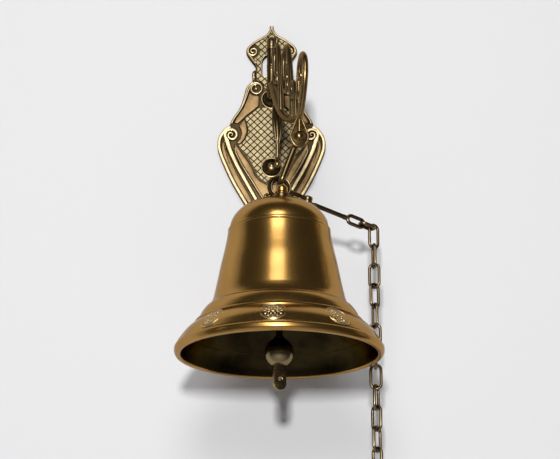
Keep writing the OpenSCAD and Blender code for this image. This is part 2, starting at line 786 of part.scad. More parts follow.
module cap_nuts() {
    color(pale_brass)
        for (side = [-1, 1])
            at_bell(bell_h + foot_t) translate([0, side * stud_offset, 0])
                difference() {
                    union() {
                        cylinder(d = nut_d - 1.4, h = 1.4);
                        translate([0, 0, 1]) domed_post(nut_d, nut_h - 1, 3);
                    }
                    translate([0, 0, -1]) cylinder(d = stud_d, h = nut_h - 2);
                }
}

module yoke_studs() {
    bottom = crown_inner_z - clevis_plate_t - fit_gap;
    color(steel_brass)
        for (side = [-1, 1])
            at_bell() translate([0, side * stud_offset, 0]) {
                translate([0, 0, bottom]) cylinder(d = stud_d, h = bell_h + foot_t + nut_h - 4 - bottom);
                translate([0, 0, bottom - stud_head_h]) cylinder(d = stud_d + 2, h = stud_head_h);
            }
}

module clapper_clevis() {
    plate_z = crown_inner_z - fit_gap - clevis_plate_t;
    color(dark_brass)
        at_bell()
            difference() {
                union() {
                    translate([0, 0, plate_z + clevis_plate_t / 2])
                        cube([8, 2 * stud_offset + stud_d + 2.4, clevis_plate_t], center = true);
                    for (side = [-1, 1])
                        translate([0, side * (clevis_gap + clevis_lug_t) / 2, 0]) rotate([90, 0, 0])
                            linear_extrude(clevis_lug_t, center = true) {
                                translate([0, clapper_pin_z]) circle(d = 8);
                                translate([-4, clapper_pin_z]) square([8, plate_z + 0.5 - clapper_pin_z]);
                            }
                }
                for (side = [-1, 1])
                    translate([0, side * stud_offset, plate_z - 1])
                        cylinder(d = stud_d, h = clevis_plate_t + 2);
                translate([0, 0, clapper_pin_z]) rotate([90, 0, 0])
                    cylinder(d = clapper_pin_d, h = 4 * clevis_gap, center = true);
            }
}

module clapper_pin() {
    half = clevis_gap / 2 + clevis_lug_t;
    color(steel_brass)
        at_bell(clapper_pin_z) rotate([90, 0, 0]) {
            cylinder(d = clapper_pin_d, h = 2 * half, center = true);
            for (side = [0, 1])
                mirror([0, 0, side]) translate([0, 0, half]) dome(clapper_pin_d + 1.6, 1);
        }
}

// Lever

module lever_rod() {
    color(brass)
        at_lever(-lever_lap / 2)
            difference() {
                union() {
                    cylinder(d = lever_eye_d, h = lever_lap, center = true);
                    translate([2, 0, 0]) rotate([0, 90, 0])
                        cylinder(d = lever_neck_d, h = lever_neck_l - 3);
                    translate([lever_neck_l - 2, 0, 0]) rotate([0, 90, 0])
                        cylinder(d1 = lever_neck_d, d2 = lever_d, h = 2);
                    translate([lever_neck_l, 0, 0]) rotate([0, 90, 0])
                        cylinder(d = lever_d, h = lever_l - lever_neck_l);
                    translate([lever_l, 0, 0]) sphere(d = lever_d);
                }
                cylinder(d = lever_rivet_d, h = 3 * lever_lap, center = true);
            }
}

module lever_rivet() {
    color(pale_brass)
        at_lever() {
            cylinder(d = lever_rivet_d, h = 2 * lever_lap, center = true);
            for (side = [0, 1])
                mirror([0, 0, side]) translate([0, 0, lever_lap]) dome(lever_rivet_d + 2, 1.3);
        }
}

module lever_inner_loop() {
    color(brass)
        at_lever(-lever_lap / 2) translate([lever_l, 0, 0]) rotate([90, 0, 0])
            wire_loop(inner_loop_l, loop_w, loop_wire);
}

module lever_outer_loop() {
    color(brass)
        at_lever(-lever_lap / 2) translate([outer_loop_at, 0, 0])
            wire_loop(outer_loop_l, loop_w, loop_wire);
}

// Clapper

module clapper_shank() {
    top = clapper_pin_z - ball_z;
    color(dark_brass)
        at_bell(ball_z)
            difference() {
                union() {
                    translate([0, 0, top]) rotate([90, 0, 0])
                        cylinder(d = clapper_pin_d + 2 * clapper_eye_wall, h = clevis_gap - 2 * end_play,
                            center = true);
                    translate([0, 0, ball_d / 4])
                        cylinder(d = shank_d, h = top - ball_d / 4 - clapper_pin_d);
                    translate([0, 0, top - clapper_neck_h - 1])
                        cylinder(d = clevis_gap - 2 * end_play, h = clapper_neck_h);
                }
                translate([0, 0, top]) rotate([90, 0, 0])
                    cylinder(d = clapper_pin_d + 2 * pin_play, h = 3 * clevis_gap, center = true);
                for (side = [-1, 1])
                    translate([0, side * clevis_gap, top])
                        cube([3 * shank_d, clevis_gap + 2 * end_play, 4 * clapper_neck_h], center = true);
            }
}

// The tongue's flat blade, which is let into the ball.
module tongue_blade() {
    bottom = -ball_d / 2 - tongue_l;
    rotate([90, 0, tongue_turn]) linear_extrude(tongue_t, center = true) {
        translate([-tongue_w / 2, bottom + tongue_w / 2])
            square([tongue_w, tongue_l + tongue_let - tongue_w / 2]);
        translate([0, bottom + tongue_w / 2]) circle(d = tongue_w);
    }
}

module clapper_ball() {
    color(brass)
        at_bell(ball_z)
            difference() {
                sphere(d = ball_d);
                translate([0, 0, ball_d / 4]) cylinder(d = shank_d, h = ball_d);
                tongue_blade();
            }
}

module clapper_tongue() {
    hole_z = -ball_d / 2 - tongue_l * 0.53;
    color(dark_brass)
        at_bell(ball_z)
            difference() {
                tongue_blade();
                translate([0, 0, hole_z]) rotate([90, 0, tongue_turn])
                    cylinder(d = tongue_hole_d, h = 2 * tongue_t, center = true);
            }
}

// Chain

// A link that hangs down from the given height, turned about the chain.
module chain_link(i) {
    at_bell(-mouth_z) rotate([0, 0, lever_turn]) translate([hang_r, 0, first_link_z - i * link_pitch])
        rotate([0, 0, running_sum(link_twist, i)]) rotate([0, 90, 90])
            wire_loop(link_l, link_w, link_wire);
}

module pull_ring() {
    color(brass)
        at_bell(-mouth_z) rotate([0, 0, lever_turn])
            translate([hang_r, 0, pull_ring_z - pull_ring_d / 2])
                rotate([0, 0, running_sum(link_twist, links - 1) + 90]) rotate([90, 0, 0])
                    rotate_extrude() translate([(pull_ring_d - pull_ring_wire) / 2, 0])
                        circle(d = pull_ring_wire);
}

wall_plate();
upper_hinge_lug();
lower_hinge_lug();
lower_boss();
hinge_pin();
bracket_post();
main_arm();
tail_scroll();
drop_finial();
rear_scroll();
middle_scroll();
bud_scroll();
front_scroll();
crest_leaf();
palm();
palm_rivet();
rivet_washer();
hanging_hook();
bell_shell();
yoke();
cap_nuts();
yoke_studs();
clapper_clevis();
clapper_pin();
lever_rod();
lever_rivet();
lever_inner_loop();
lever_outer_loop();
clapper_shank();
clapper_ball();
clapper_tongue();
for (i = [0:links - 1])
    color(dark_brass) chain_link(i);
pull_ring();
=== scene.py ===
"""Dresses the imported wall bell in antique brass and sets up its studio.

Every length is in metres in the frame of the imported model: X to the right, +Y into the wall, Z up,
with the origin in the middle of the plate's flat back. Shapes are drawn in millimetres and scaled by MM.
"""

from __future__ import annotations

import logging
import math
from contextlib import contextmanager
from dataclasses import dataclass
from enum import Enum
from typing import Callable, Iterator, Sequence

import bpy
from mathutils import Matrix, Vector


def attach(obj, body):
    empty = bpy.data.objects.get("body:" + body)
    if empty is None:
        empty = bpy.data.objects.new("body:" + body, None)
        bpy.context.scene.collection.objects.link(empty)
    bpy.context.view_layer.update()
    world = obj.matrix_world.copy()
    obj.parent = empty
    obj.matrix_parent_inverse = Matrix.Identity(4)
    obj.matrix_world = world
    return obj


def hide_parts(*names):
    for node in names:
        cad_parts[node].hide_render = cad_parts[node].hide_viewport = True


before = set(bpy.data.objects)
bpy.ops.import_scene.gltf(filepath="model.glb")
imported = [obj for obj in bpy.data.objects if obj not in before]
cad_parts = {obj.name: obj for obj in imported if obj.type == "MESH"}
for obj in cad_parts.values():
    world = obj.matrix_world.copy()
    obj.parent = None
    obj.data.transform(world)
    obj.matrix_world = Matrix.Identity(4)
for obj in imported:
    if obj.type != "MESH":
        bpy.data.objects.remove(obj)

MM = 0.001
TURN = 2 * math.pi
LOG = logging.getLogger("wall_bell")

Point = tuple[float, float]
Piece = bpy.types.Object


class Slot(Enum):
    """The material slots of the record."""

    CAST = "cast_brass"
    AGED = "aged_brass"
    POLISHED = "polished_brass"
    PIN = "pin_brass"
    CHAIN = "chain_brass"


# Bench tools


def deselect() -> None:
    """Leaves object mode with nothing selected."""
    if bpy.context.object is not None and bpy.context.object.mode != "OBJECT":
        bpy.ops.object.mode_set(mode="OBJECT")
    bpy.ops.object.select_all(action="DESELECT")


def activate(piece: Piece) -> None:
    """Makes one piece the only selected and the active one."""
    deselect()
    piece.select_set(True)
    bpy.context.view_layer.objects.active = piece


@contextmanager
def editing(piece: Piece) -> Iterator[None]:
    """Holds a piece in edit mode with everything on it selected."""
    activate(piece)
    bpy.context.tool_settings.mesh_select_mode = (True, False, False)
    bpy.ops.object.mode_set(mode="EDIT")
    bpy.ops.mesh.select_all(action="SELECT")
    yield
    bpy.ops.object.mode_set(mode="OBJECT")


def choose_faces(piece: Piece, test: Callable[[Vector, Vector], bool]) -> None:
    """Selects the faces whose centre and normal pass a test.

    Args:
        piece: The mesh piece, in object mode.
        test: Takes a face's centre and normal.
    """
    bpy.context.tool_settings.mesh_select_mode = (False, False, True)
    for vertex in piece.data.vertices:
        vertex.select = False
    for edge in piece.data.edges:
        edge.select = False
    for face in piece.data.polygons:
        face.select = test(face.center, face.normal)


def clean(piece: Piece) -> Piece:
    """Merges doubled points and turns every face outwards."""
    with editing(piece):
        bpy.ops.mesh.remove_doubles(threshold=0.002 * MM)
        bpy.ops.mesh.normals_make_consistent(inside=False)
    return piece


def smooth(piece: Piece, angle: float = 38) -> Piece:
    """Shades a piece smooth up to an angle in degrees."""
    activate(piece)
    bpy.ops.object.shade_smooth_by_angle(angle=math.radians(angle))
    return piece


def place(piece: Piece, matrix: Matrix) -> Piece:
    """Moves a piece's mesh and leaves its object at the origin."""
    piece.data.transform(matrix)
    if matrix.determinant() < 0:
        piece.data.flip_normals()
    piece.data.update()
    return piece


def named(piece: Piece, name: str) -> Piece:
    """Names a piece and its mesh."""
    piece.name = name
    piece.data.name = name
    return piece


def apply_modifiers(piece: Piece) -> Piece:
    """Applies every modifier on a piece."""
    activate(piece)
    for modifier in list(piece.modifiers):
        bpy.ops.object.modifier_apply(modifier=modifier.name)
    return piece


def joined(pieces: Sequence[Piece], name: str) -> Piece:
    """Joins several pieces into one.

    Args:
        pieces: The pieces, the first of which stays.
        name: The name of the result.

    Returns:
        The joined piece.
    """
    activate(pieces[0])
    for piece in pieces[1:]:
        piece.select_set(True)
    if len(pieces) > 1:
        bpy.ops.object.join()
    return named(pieces[0], name)


def copied(piece: Piece, matrix: Matrix) -> Piece:
    """A copy of a piece with a mesh of its own, moved by a matrix."""
    twin = piece.copy()
    twin.data = piece.data.copy()
    bpy.context.scene.collection.objects.link(twin)
    return place(twin, matrix)


def spline(points: Sequence[Point], steps: int) -> list[Point]:
    """A smooth Catmull-Rom run through points.

    Args:
        points: The points that the run passes through.
        steps: The number of points to each span.

    Returns:
        The points of the run, with both ends.
    """
    run: list[Point] = []
    last = len(points) - 1
    for i in range(last):
        p0, p1, p2, p3 = points[max(i - 1, 0)], points[i], points[i + 1], points[min(i + 2, last)]
        for k in range(steps):
            t = k / steps
            run.append(tuple(
                0.5 * (2 * b + (c - a) * t + (2 * a - 5 * b + 4 * c - d) * t**2
                       + (3 * b - a - 3 * c + d) * t**3)
                for a, b, c, d in zip(p0, p1, p2, p3)))
    run.append(tuple(points[last]))
    return run


def turned(name: str, profile: Sequence[Point], steps: int = 64, closed: bool = False) -> Piece:
    """Turns a profile about Z, as on a lathe.

    Args:
        name: The piece's name.
        profile: Points of (radius, height) in millimetres.
        steps: The number of steps round the axis.
        closed: Whether the profile's last point joins its first.

    Returns:
        The turned piece, about the origin.
    """
    points = list(profile) + ([profile[0]] if closed else [])
    bpy.ops.mesh.primitive_plane_add(size=MM)
    piece = named(bpy.context.object, name)
    with editing(piece):
        bpy.ops.mesh.merge(type="CENTER")
        bpy.ops.transform.translate(value=(points[0][0] * MM, 0, points[0][1] * MM))
        for here, there in zip(points, points[1:]):
            step = ((there[0] - here[0]) * MM, 0, (there[1] - here[1]) * MM)
            bpy.ops.mesh.extrude_region_move(TRANSFORM_OT_translate={"value": step})
        bpy.ops.mesh.select_all(action="SELECT")
        bpy.ops.mesh.spin(steps=steps, angle=TURN, center=(0, 0, 0), axis=(0, 0, 1))
    return smooth(clean(piece))


def swept(name: str, path: Sequence[Sequence[float]], radii: Sequence[float] | float, sides: int = 12,
          closed: bool = False) -> Piece:
    """Draws a round bar along a path.

    Args:
        name: The piece's name.
        path: Points in millimetres.
        radii: The bar's radius, or one radius for each point, in millimetres.
        sides: The number of sides of the bar.
        closed: Whether the path closes on itself.

    Returns:
        The bar as a mesh.
    """
    curve = bpy.data.curves.new(name, "CURVE")
    curve.dimensions = "3D"
    curve.bevel_depth = MM
    curve.bevel_resolution = max(0, (sides - 4) // 2)
    curve.use_fill_caps = not closed
    run = curve.splines.new("POLY")
    run.points.add(len(path) - 1)
    for i, point in enumerate(path):
        run.points[i].co = (*(c * MM for c in point), 1)
        run.points[i].radius = radii if isinstance(radii, (int, float)) else radii[i]
    run.use_cyclic_u = closed
    piece = bpy.data.objects.new(name, curve)
    bpy.context.scene.collection.objects.link(piece)
    activate(piece)
    bpy.ops.object.convert(target="MESH")
    return smooth(clean(named(bpy.context.object, name)), 60)


def flat_pad(name: str, loops: Sequence[Sequence[Point]], thickness: float, bevel: float,
             rounds: int = 2) -> Piece:
    """Cuts a flat shape with rounded edges, standing on the XY plane.

    Args:
        name: The piece's name.
        loops: The outline and any holes, in millimetres.
        thickness: The thickness in millimetres.
        bevel: The rounding of the edges in millimetres.
        rounds: The number of steps in the rounding.

    Returns:
        The pad as a mesh.
    """
    curve = bpy.data.curves.new(name, "CURVE")
    curve.dimensions = "2D"
    curve.fill_mode = "BOTH"
    curve.extrude = (thickness / 2 - bevel) * MM
    curve.bevel_depth = bevel * MM
    curve.bevel_resolution = rounds
    curve.offset = -bevel * MM
    for loop in loops:
        run = curve.splines.new("POLY")
        run.points.add(len(loop) - 1)
        for i, (x, y) in enumerate(loop):
            run.points[i].co = (x * MM, y * MM, 0, 1)
        run.use_cyclic_u = True
    piece = bpy.data.objects.new(name, curve)
    bpy.context.scene.collection.objects.link(piece)
    activate(piece)
    bpy.ops.object.convert(target="MESH")
    piece = place(named(bpy.context.object, name), shift_by(z=thickness / 2))
    return smooth(clean(piece), 30)


def ball(name: str, radii: Sequence[float], centre: Sequence[float], steps: int = 24) -> Piece:
    """A ball or an egg with the given half-widths, in millimetres."""
    bpy.ops.mesh.primitive_uv_sphere_add(segments=steps, ring_count=steps // 2, radius=MM)
    piece = named(bpy.context.object, name)
    with editing(piece):
        bpy.ops.transform.resize(value=tuple(radii))
        bpy.ops.transform.translate(value=tuple(c * MM for c in centre))
    return smooth(piece, 60)


def circle(x: float, y: float, r: float, steps: int = 32) -> list[Point]:
    """Points round a circle."""
    return [(x + r * math.cos(TURN * k / steps), y + r * math.sin(TURN * k / steps)) for k in range(steps)]


def stadium(length: float, width: float, wire: float, steps: int = 10) -> list[tuple[float, float, float]]:
    """The middle line of a long wire loop in the XY plane, from the origin along +X."""
    r = (width - wire) / 2
    path = []
    for end in (0, 1):
        for k in range(steps + 1):
            a = math.pi * (0.5 + k / steps) + math.pi * end
            path.append((width / 2 + end * (length - width) + r * math.cos(a), r * math.sin(a), 0.0))
    return path


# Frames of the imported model


def shift_by(x: float = 0, y: float = 0, z: float = 0) -> Matrix:
    """A shift in millimetres."""
    return Matrix.Translation((x * MM, y * MM, z * MM))


def turn_by(degrees: float, axis: str) -> Matrix:
    """A turn in degrees about an axis."""
    return Matrix.Rotation(math.radians(degrees), 4, axis)


@dataclass(frozen=True)
class Frames:
    """Where the bracket, the hook, the bell and the lever stand, in millimetres and degrees."""

    hinge_out: float = 14.0
    swing: float = 13.0
    rivet_z: float = -45.0
    rod_reach: float = 88.9
    bell_reach: float = 84.2
    lean: float = 20.25
    hook_l: float = 37.6
    mouth_z: float = -209.476
    bell_h: float = 116.0
    ring_z: float = -82.876
    lever_turn: float = 17.0
    lever_slope: float = 11.0
    lever_root: float = 24.0
    lever_z: float = 120.8
    hang_r: float = 81.7
    first_link_z: float = -97.2161
    link_pitch: float = 15.4

    def wall(self, out: float = 0) -> Matrix:
        """Drawings in XY stand on the wall, with their Z out into the room."""
        return shift_by(y=-out) @ turn_by(90, "X")

    def hinge(self) -> Matrix:
        """The hinge axis, turned with the bracket."""
        return shift_by(y=-self.hinge_out) @ turn_by(self.swing, "Z")

    def bracket(self) -> Matrix:
        """Drawings have X along the arm, Y up and Z across to the left."""
        return self.hinge() @ turn_by(-90, "Z") @ turn_by(90, "X")

    def palm(self) -> Matrix:
        """The palm's rivet axis: Z along the arm to the front, Y up, X to the right."""
        return self.hinge() @ shift_by(z=self.rivet_z) @ turn_by(90, "X")

    def hook(self) -> Matrix:
        """The hook's rivet, leaning: Z up the rod, Y towards the wall."""
        return self.hinge() @ shift_by(y=-self.rod_reach, z=self.rivet_z) @ turn_by(self.lean, "Y")

    def bell(self, z: float = 0) -> Matrix:
        """The bell's axis at a height above the mouth, with -Y along the arm."""
        shift = -self.hook_l * math.sin(math.radians(self.lean))
        return self.hinge() @ shift_by(shift, -self.bell_reach, self.mouth_z + z)

    def lever(self, z: float = 0) -> Matrix:
        """The lever's rivet, with X along the lever."""
        return (self.bell() @ turn_by(self.lever_turn, "Z") @ shift_by(self.lever_root, z=self.lever_z)
                @ turn_by(self.lever_slope, "Y") @ shift_by(z=z))

    def chain(self, drop: float) -> Matrix:
        """The chain's line at a depth below the top of the first link."""
        return (self.bell(-self.mouth_z) @ turn_by(self.lever_turn, "Z")
                @ shift_by(self.hang_r, z=self.first_link_z - drop))


PLACE = Frames()


# Finishes


def new_socket(group: bpy.types.NodeTree, name: str, kind: str, value: object = None,
               out: bool = False) -> None:
    """Adds a named socket to a node group."""
    socket = group.interface.new_socket(name, in_out="OUTPUT" if out else "INPUT", socket_type=kind)
    if value is not None:
        socket.default_value = value


class Nodes:
    """A node tree with short ways to add and join its nodes."""

    def __init__(self, tree: bpy.types.NodeTree) -> None:
        """Keeps the tree that nodes are added to."""
        self.tree = tree

    def add(self, kind: str, settings: dict[str, object] | None = None, **inputs: object) -> bpy.types.Node:
        """Adds a node.

        Args:
            kind: The node's type name.
            settings: Values of the node's own properties.
            **inputs: Values or sockets by input name, with underscores for spaces.

        Returns:
            The new node.
        """
        node = self.tree.nodes.new(kind)
        for key, value in (settings or {}).items():
            setattr(node, key, value)
        for key, value in inputs.items():
            self.feed(node.inputs[key.replace("_", " ")], value)
        return node

    def feed(self, socket: bpy.types.NodeSocket, value: object) -> None:
        """Links a socket to an input, or sets its value."""
        if isinstance(value, bpy.types.NodeSocket):
            self.tree.links.new(value, socket)
        else:
            socket.default_value = value

    def math(self, operation: str, *values: object, clamp: bool = False) -> bpy.types.NodeSocket:
        """The result of a Math node."""
        node = self.add("ShaderNodeMath", {"operation": operation, "use_clamp": clamp})
        for socket, value in zip(node.inputs, values):
            self.feed(socket, value)
        return node.outputs[0]

    def ramp(self, factor: object, low: float, high: float) -> bpy.types.NodeSocket:
        """A smooth step of a value from 0 at low to 1 at high."""
        node = self.add("ShaderNodeMapRange", {"interpolation_type": "SMOOTHSTEP"}, Value=factor,
                        From_Min=low, From_Max=high)
        return node.outputs["Result"]

    def mix(self, factor: object, first: object, second: object) -> bpy.types.NodeSocket:
        """A colour between two colours."""
        node = self.add("ShaderNodeMix", {"data_type": "RGBA"})
        # a Mix node has sockets of one name for each type; these are the ones for colours
        factor_in, first_in, second_in, colour_out = 0, 6, 7, 2
        self.feed(node.inputs[factor_in], factor)
        self.feed(node.inputs[first_in], first)
        self.feed(node.inputs[second_in], second)
        return node.outputs[colour_out]


class FinishShop:
    """The shader groups that every brass finish shares."""

    def __init__(self) -> None:
        """Builds each group once."""
        self.patina = self.make_patina()
        self.brushing = self.make_brushing()

    def make_patina(self) -> bpy.types.NodeTree:
        """Old brass: dark tarnish in the hollows, mottled fields and rubbed edges.

        Returns:
            The group, with colour, roughness and height outputs.
        """
        group = bpy.data.node_groups.new("old_brass_patina", "ShaderNodeTree")
        for name in ("Rubbed", "Field", "Tarnish"):
            new_socket(group, name, "NodeSocketColor")
        for name in ("Hollow Reach", "Hollow Depth", "Mottle Scale", "Mottle", "Edge Wear", "Roughness"):
            new_socket(group, name, "NodeSocketFloat")
        new_socket(group, "Color", "NodeSocketColor", out=True)
        new_socket(group, "Roughness", "NodeSocketFloat", out=True)
        new_socket(group, "Height", "NodeSocketFloat", out=True)
        n = Nodes(group)
        given = n.add("NodeGroupInput").outputs
        where = n.add("ShaderNodeTexCoord").outputs["Object"]
        mottle = n.add("ShaderNodeTexNoise", Vector=where, Scale=given["Mottle Scale"], Detail=5.0,
                       Roughness=0.6).outputs["Fac"]
        speck = n.add("ShaderNodeTexNoise", Vector=where, Scale=1400.0, Detail=3.0,
                      Roughness=0.7).outputs["Fac"]
        hollow = n.add("ShaderNodeAmbientOcclusion", {"samples": 8, "only_local": False},
                       Distance=given["Hollow Reach"]).outputs["AO"]
        sharp = n.add("ShaderNodeNewGeometry").outputs["Pointiness"]
        worn = n.math("MULTIPLY", n.ramp(sharp, 0.51, 0.58), given["Edge Wear"])
        cloud = n.math("MULTIPLY", n.ramp(mottle, 0.38, 0.68), given["Mottle"])
        dark = n.math("MULTIPLY", n.math("SUBTRACT", 1.0, n.ramp(hollow, 0.35, 0.95)),
                      given["Hollow Depth"])
        grime = n.math("MULTIPLY", n.ramp(sharp, 0.49, 0.42), given["Hollow Depth"])
        base = n.mix(cloud, given["Field"], given["Tarnish"])
        base = n.mix(worn, base, given["Rubbed"])
        base = n.mix(n.math("MAXIMUM", dark, n.math("MULTIPLY", grime, 0.7)), base, given["Tarnish"])
        rough = n.math("ADD", given["Roughness"], n.math("MULTIPLY", n.math("SUBTRACT", speck, 0.5), 0.12))
        rough = n.math("ADD", rough, n.math("MULTIPLY", dark, 0.2), clamp=True)
        out = n.add("NodeGroupOutput")
        n.feed(out.inputs["Color"], base)
        n.feed(out.inputs["Roughness"], rough)
        n.feed(out.inputs["Height"], n.math("ADD", n.math("MULTIPLY", mottle, 0.7),
                                            n.math("MULTIPLY", speck, 0.3)))
        return group

    def make_brushing(self) -> bpy.types.NodeTree:
        """Fine lines left by a polishing wheel round an upright axis.

        Returns:
            The group, with a height output.
        """
        group = bpy.data.node_groups.new("wheel_brushing", "ShaderNodeTree")
        new_socket(group, "Across", "NodeSocketFloat", 60.0)
        new_socket(group, "Along", "NodeSocketFloat", 2600.0)
        new_socket(group, "Height", "NodeSocketFloat", out=True)
        n = Nodes(group)
        given = n.add("NodeGroupInput").outputs
        where = n.add("ShaderNodeTexCoord").outputs["Object"]
        stretch = n.add("ShaderNodeCombineXYZ", X=given["Across"], Y=given["Across"], Z=given["Along"])
        lines = n.add("ShaderNodeVectorMath", {"operation": "MULTIPLY"})
        n.feed(lines.inputs[0], where)
        n.feed(lines.inputs[1], stretch.outputs[0])
        noise = n.add("ShaderNodeTexNoise", Vector=lines.outputs[0], Scale=1.0, Detail=3.0, Roughness=0.55)
        n.feed(n.add("NodeGroupOutput").inputs["Height"], noise.outputs["Fac"])
        return group


@dataclass(frozen=True)
class Brass:
    """One finish of old brass."""

    name: str
    rubbed: tuple[float, float, float]
    field: tuple[float, float, float]
    tarnish: tuple[float, float, float]
    roughness: float
    hollow_reach: float = 1.6 * MM
    hollow_depth: float = 0.9
    mottle: float = 0.3
    mottle_scale: float = 90.0
    edge_wear: float = 0.6
    bump: float = 0.12
    brushed: float = 0.0
    coat: float = 0.0
    grazing: tuple[float, float, float] = (0.5, 0.4, 0.26)

    def make(self, shop: FinishShop) -> bpy.types.Material:
        """Builds the finish's material.

        Args:
            shop: The shared shader groups.

        Returns:
            The material.
        """
        material = bpy.data.materials.new(self.name)
        material.use_nodes = True
        n = Nodes(material.node_tree)
        surface = material.node_tree.nodes["Principled BSDF"]
        surface.inputs["Metallic"].default_value = 1.0
        surface.inputs["Coat Weight"].default_value = self.coat
        surface.inputs["Specular Tint"].default_value = (*self.grazing, 1)
        surface.inputs["Coat Roughness"].default_value = self.roughness * 0.7
        old = n.add("ShaderNodeGroup", {"node_tree": shop.patina}, Rubbed=(*self.rubbed, 1),
                    Field=(*self.field, 1), Tarnish=(*self.tarnish, 1), Hollow_Reach=self.hollow_reach,
                    Hollow_Depth=self.hollow_depth, Mottle_Scale=self.mottle_scale, Mottle=self.mottle,
                    Edge_Wear=self.edge_wear, Roughness=self.roughness)
        n.feed(surface.inputs["Base Color"], old.outputs["Color"])
        n.feed(surface.inputs["Roughness"], old.outputs["Roughness"])
        height = old.outputs["Height"]
        if self.brushed:
            wheel = n.add("ShaderNodeGroup", {"node_tree": shop.brushing})
            height = n.math("ADD", height, n.math("MULTIPLY", wheel.outputs["Height"], self.brushed))
        bump = n.add("ShaderNodeBump", Height=height, Strength=self.bump, Distance=0.15 * MM)
        n.feed(surface.inputs["Normal"], bump.outputs["Normal"])
        return material


BELL_BRASS = Brass("satin_bell_brass", (0.55, 0.37, 0.14), (0.45, 0.245, 0.058), (0.11, 0.054, 0.013), 0.25,
                   hollow_reach=2.5 * MM, hollow_depth=0.6, mottle=0.16, mottle_scale=45.0, edge_wear=0.35,
                   bump=0.05, brushed=1.4, coat=0.4)
MEDALLION_BRASS = Brass("struck_medallion_brass", (0.8, 0.62, 0.34), (0.5, 0.36, 0.16),
                        (0.03, 0.02, 0.007), 0.36, hollow_reach=0.6 * MM, hollow_depth=1.3, mottle=0.2,
                        mottle_scale=300.0, edge_wear=1.0, coat=0.3)
# The bell's inside: partly the duller casting of a bell's inside, mostly painted shade that darkens the
# inside of the mouth
INNER_BRASS_WITH_PAINTED_SHADE = Brass("bell_inside_dull_and_painted_shade", (0.2, 0.155, 0.07), (0.036, 0.026, 0.011), (0.007, 0.005, 0.003),
                    0.3, hollow_reach=6 * MM, hollow_depth=0.6, mottle=0.6, mottle_scale=60.0, bump=0.25,
                    brushed=1.0)
PLATE_BRASS = Brass("antique_plate_brass", (0.58, 0.46, 0.27), (0.36, 0.265, 0.14), (0.02, 0.013, 0.006),
                    0.3, hollow_reach=1.2 * MM, hollow_depth=1.3, mottle=0.4, mottle_scale=120.0,
                    edge_wear=0.9, coat=0.25)
FIELD_BRASS = Brass("smooth_field_brass", (0.32, 0.215, 0.1), (0.16, 0.1, 0.04), (0.03, 0.018, 0.007),
                    0.36, hollow_reach=2.4 * MM, hollow_depth=1.1, mottle=0.5, mottle_scale=90.0,
                    edge_wear=0.4, coat=0.15)
LATTICE_BRASS = Brass("rubbed_lattice_brass", (0.3, 0.245, 0.145), (0.22, 0.175, 0.095),
                      (0.02, 0.013, 0.006), 0.42, hollow_reach=0.5 * MM, mottle=0.45, mottle_scale=200.0,
                      edge_wear=0.2, bump=0.2)
GROUND_BRASS = Brass("tarnished_ground_brass", (0.2, 0.145, 0.075), (0.06, 0.042, 0.019),
                     (0.008, 0.006, 0.003), 0.5, mottle=0.5, mottle_scale=200.0, bump=0.3)
BRACKET_BRASS = Brass("antique_bracket_brass", (0.34, 0.25, 0.12), (0.1, 0.064, 0.026),
                      (0.016, 0.01, 0.004), 0.3, hollow_depth=1.1, mottle=0.5, mottle_scale=150.0,
                      edge_wear=0.6, coat=0.2)
BRIGHT_BRASS = Brass("handled_brass", (0.46, 0.32, 0.14), (0.2, 0.12, 0.045), (0.025, 0.015, 0.006), 0.27,
                     mottle=0.4, mottle_scale=150.0, edge_wear=0.5, coat=0.25)
HOOK_BRASS = Brass("brown_hook_brass", (0.42, 0.28, 0.12), (0.085, 0.05, 0.016), (0.018, 0.01, 0.004), 0.28,
                   mottle=0.4, mottle_scale=120.0, edge_wear=0.9, coat=0.25)
CLAPPER_BRASS = Brass("dark_clapper_brass", (0.46, 0.38, 0.2), (0.22, 0.16, 0.07), (0.02, 0.014, 0.007),
                      0.26, hollow_reach=1.0 * MM, mottle=0.3, mottle_scale=180.0, edge_wear=0.8,
                      coat=0.5)
CHAIN_BRASS = Brass("old_chain_brass", (0.34, 0.25, 0.14), (0.085, 0.058, 0.03), (0.015, 0.01, 0.006),
                    0.3, hollow_reach=1.2 * MM, mottle=0.6, mottle_scale=260.0, edge_wear=0.7, bump=0.2,
                    coat=0.3)


class Workshop:
    """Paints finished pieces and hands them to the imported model."""

    def __init__(self) -> None:
        """Builds the shared shader groups."""
        self.shop = FinishShop()
        self.paints: dict[str, bpy.types.Material] = {}

    def paint(self, finish: Brass) -> bpy.types.Material:
        """The material of a finish, made once."""
        if finish.name not in self.paints:
            self.paints[finish.name] = finish.make(self.shop)
        return self.paints[finish.name]

    def dress(self, piece: Piece, name: str, body: str, finish: Brass, slot: Slot, *nodes: str) -> Piece:
        """Names and paints a piece and puts it on its body.

        Args:
            piece: The finished piece.
            name: Its name.
            body: The body that it moves with.
            finish: Its brass.
            slot: The record's slot that the finish belongs to; not used.
            *nodes: The solids that it stands for.

        Returns:
            The piece.
        """
        named(piece, name)
        piece.data.materials.clear()
        piece.data.materials.append(self.paint(finish))
        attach(piece, body)
        if nodes:
            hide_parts(*nodes)
        LOG.info("%s: %d faces on %s", name, len(piece.data.polygons), body)
        return piece


# Shapes shared by the sub-assemblies

MIRROR = Matrix.Scale(-1, 4, (1, 0, 0))


def shifted(points: Sequence[Point], distance: float) -> list[Point]:
    """A run moved to its left by a distance, or to its right if that is negative."""
    run = []
    last = len(points) - 1
    for i, (x, y) in enumerate(points):
        before, after = points[max(i - 1, 0)], points[min(i + 1, last)]
        heading = Vector((after[0] - before[0], after[1] - before[1])).normalized()
        run.append((x - heading.y * distance, y + heading.x * distance))
    return run


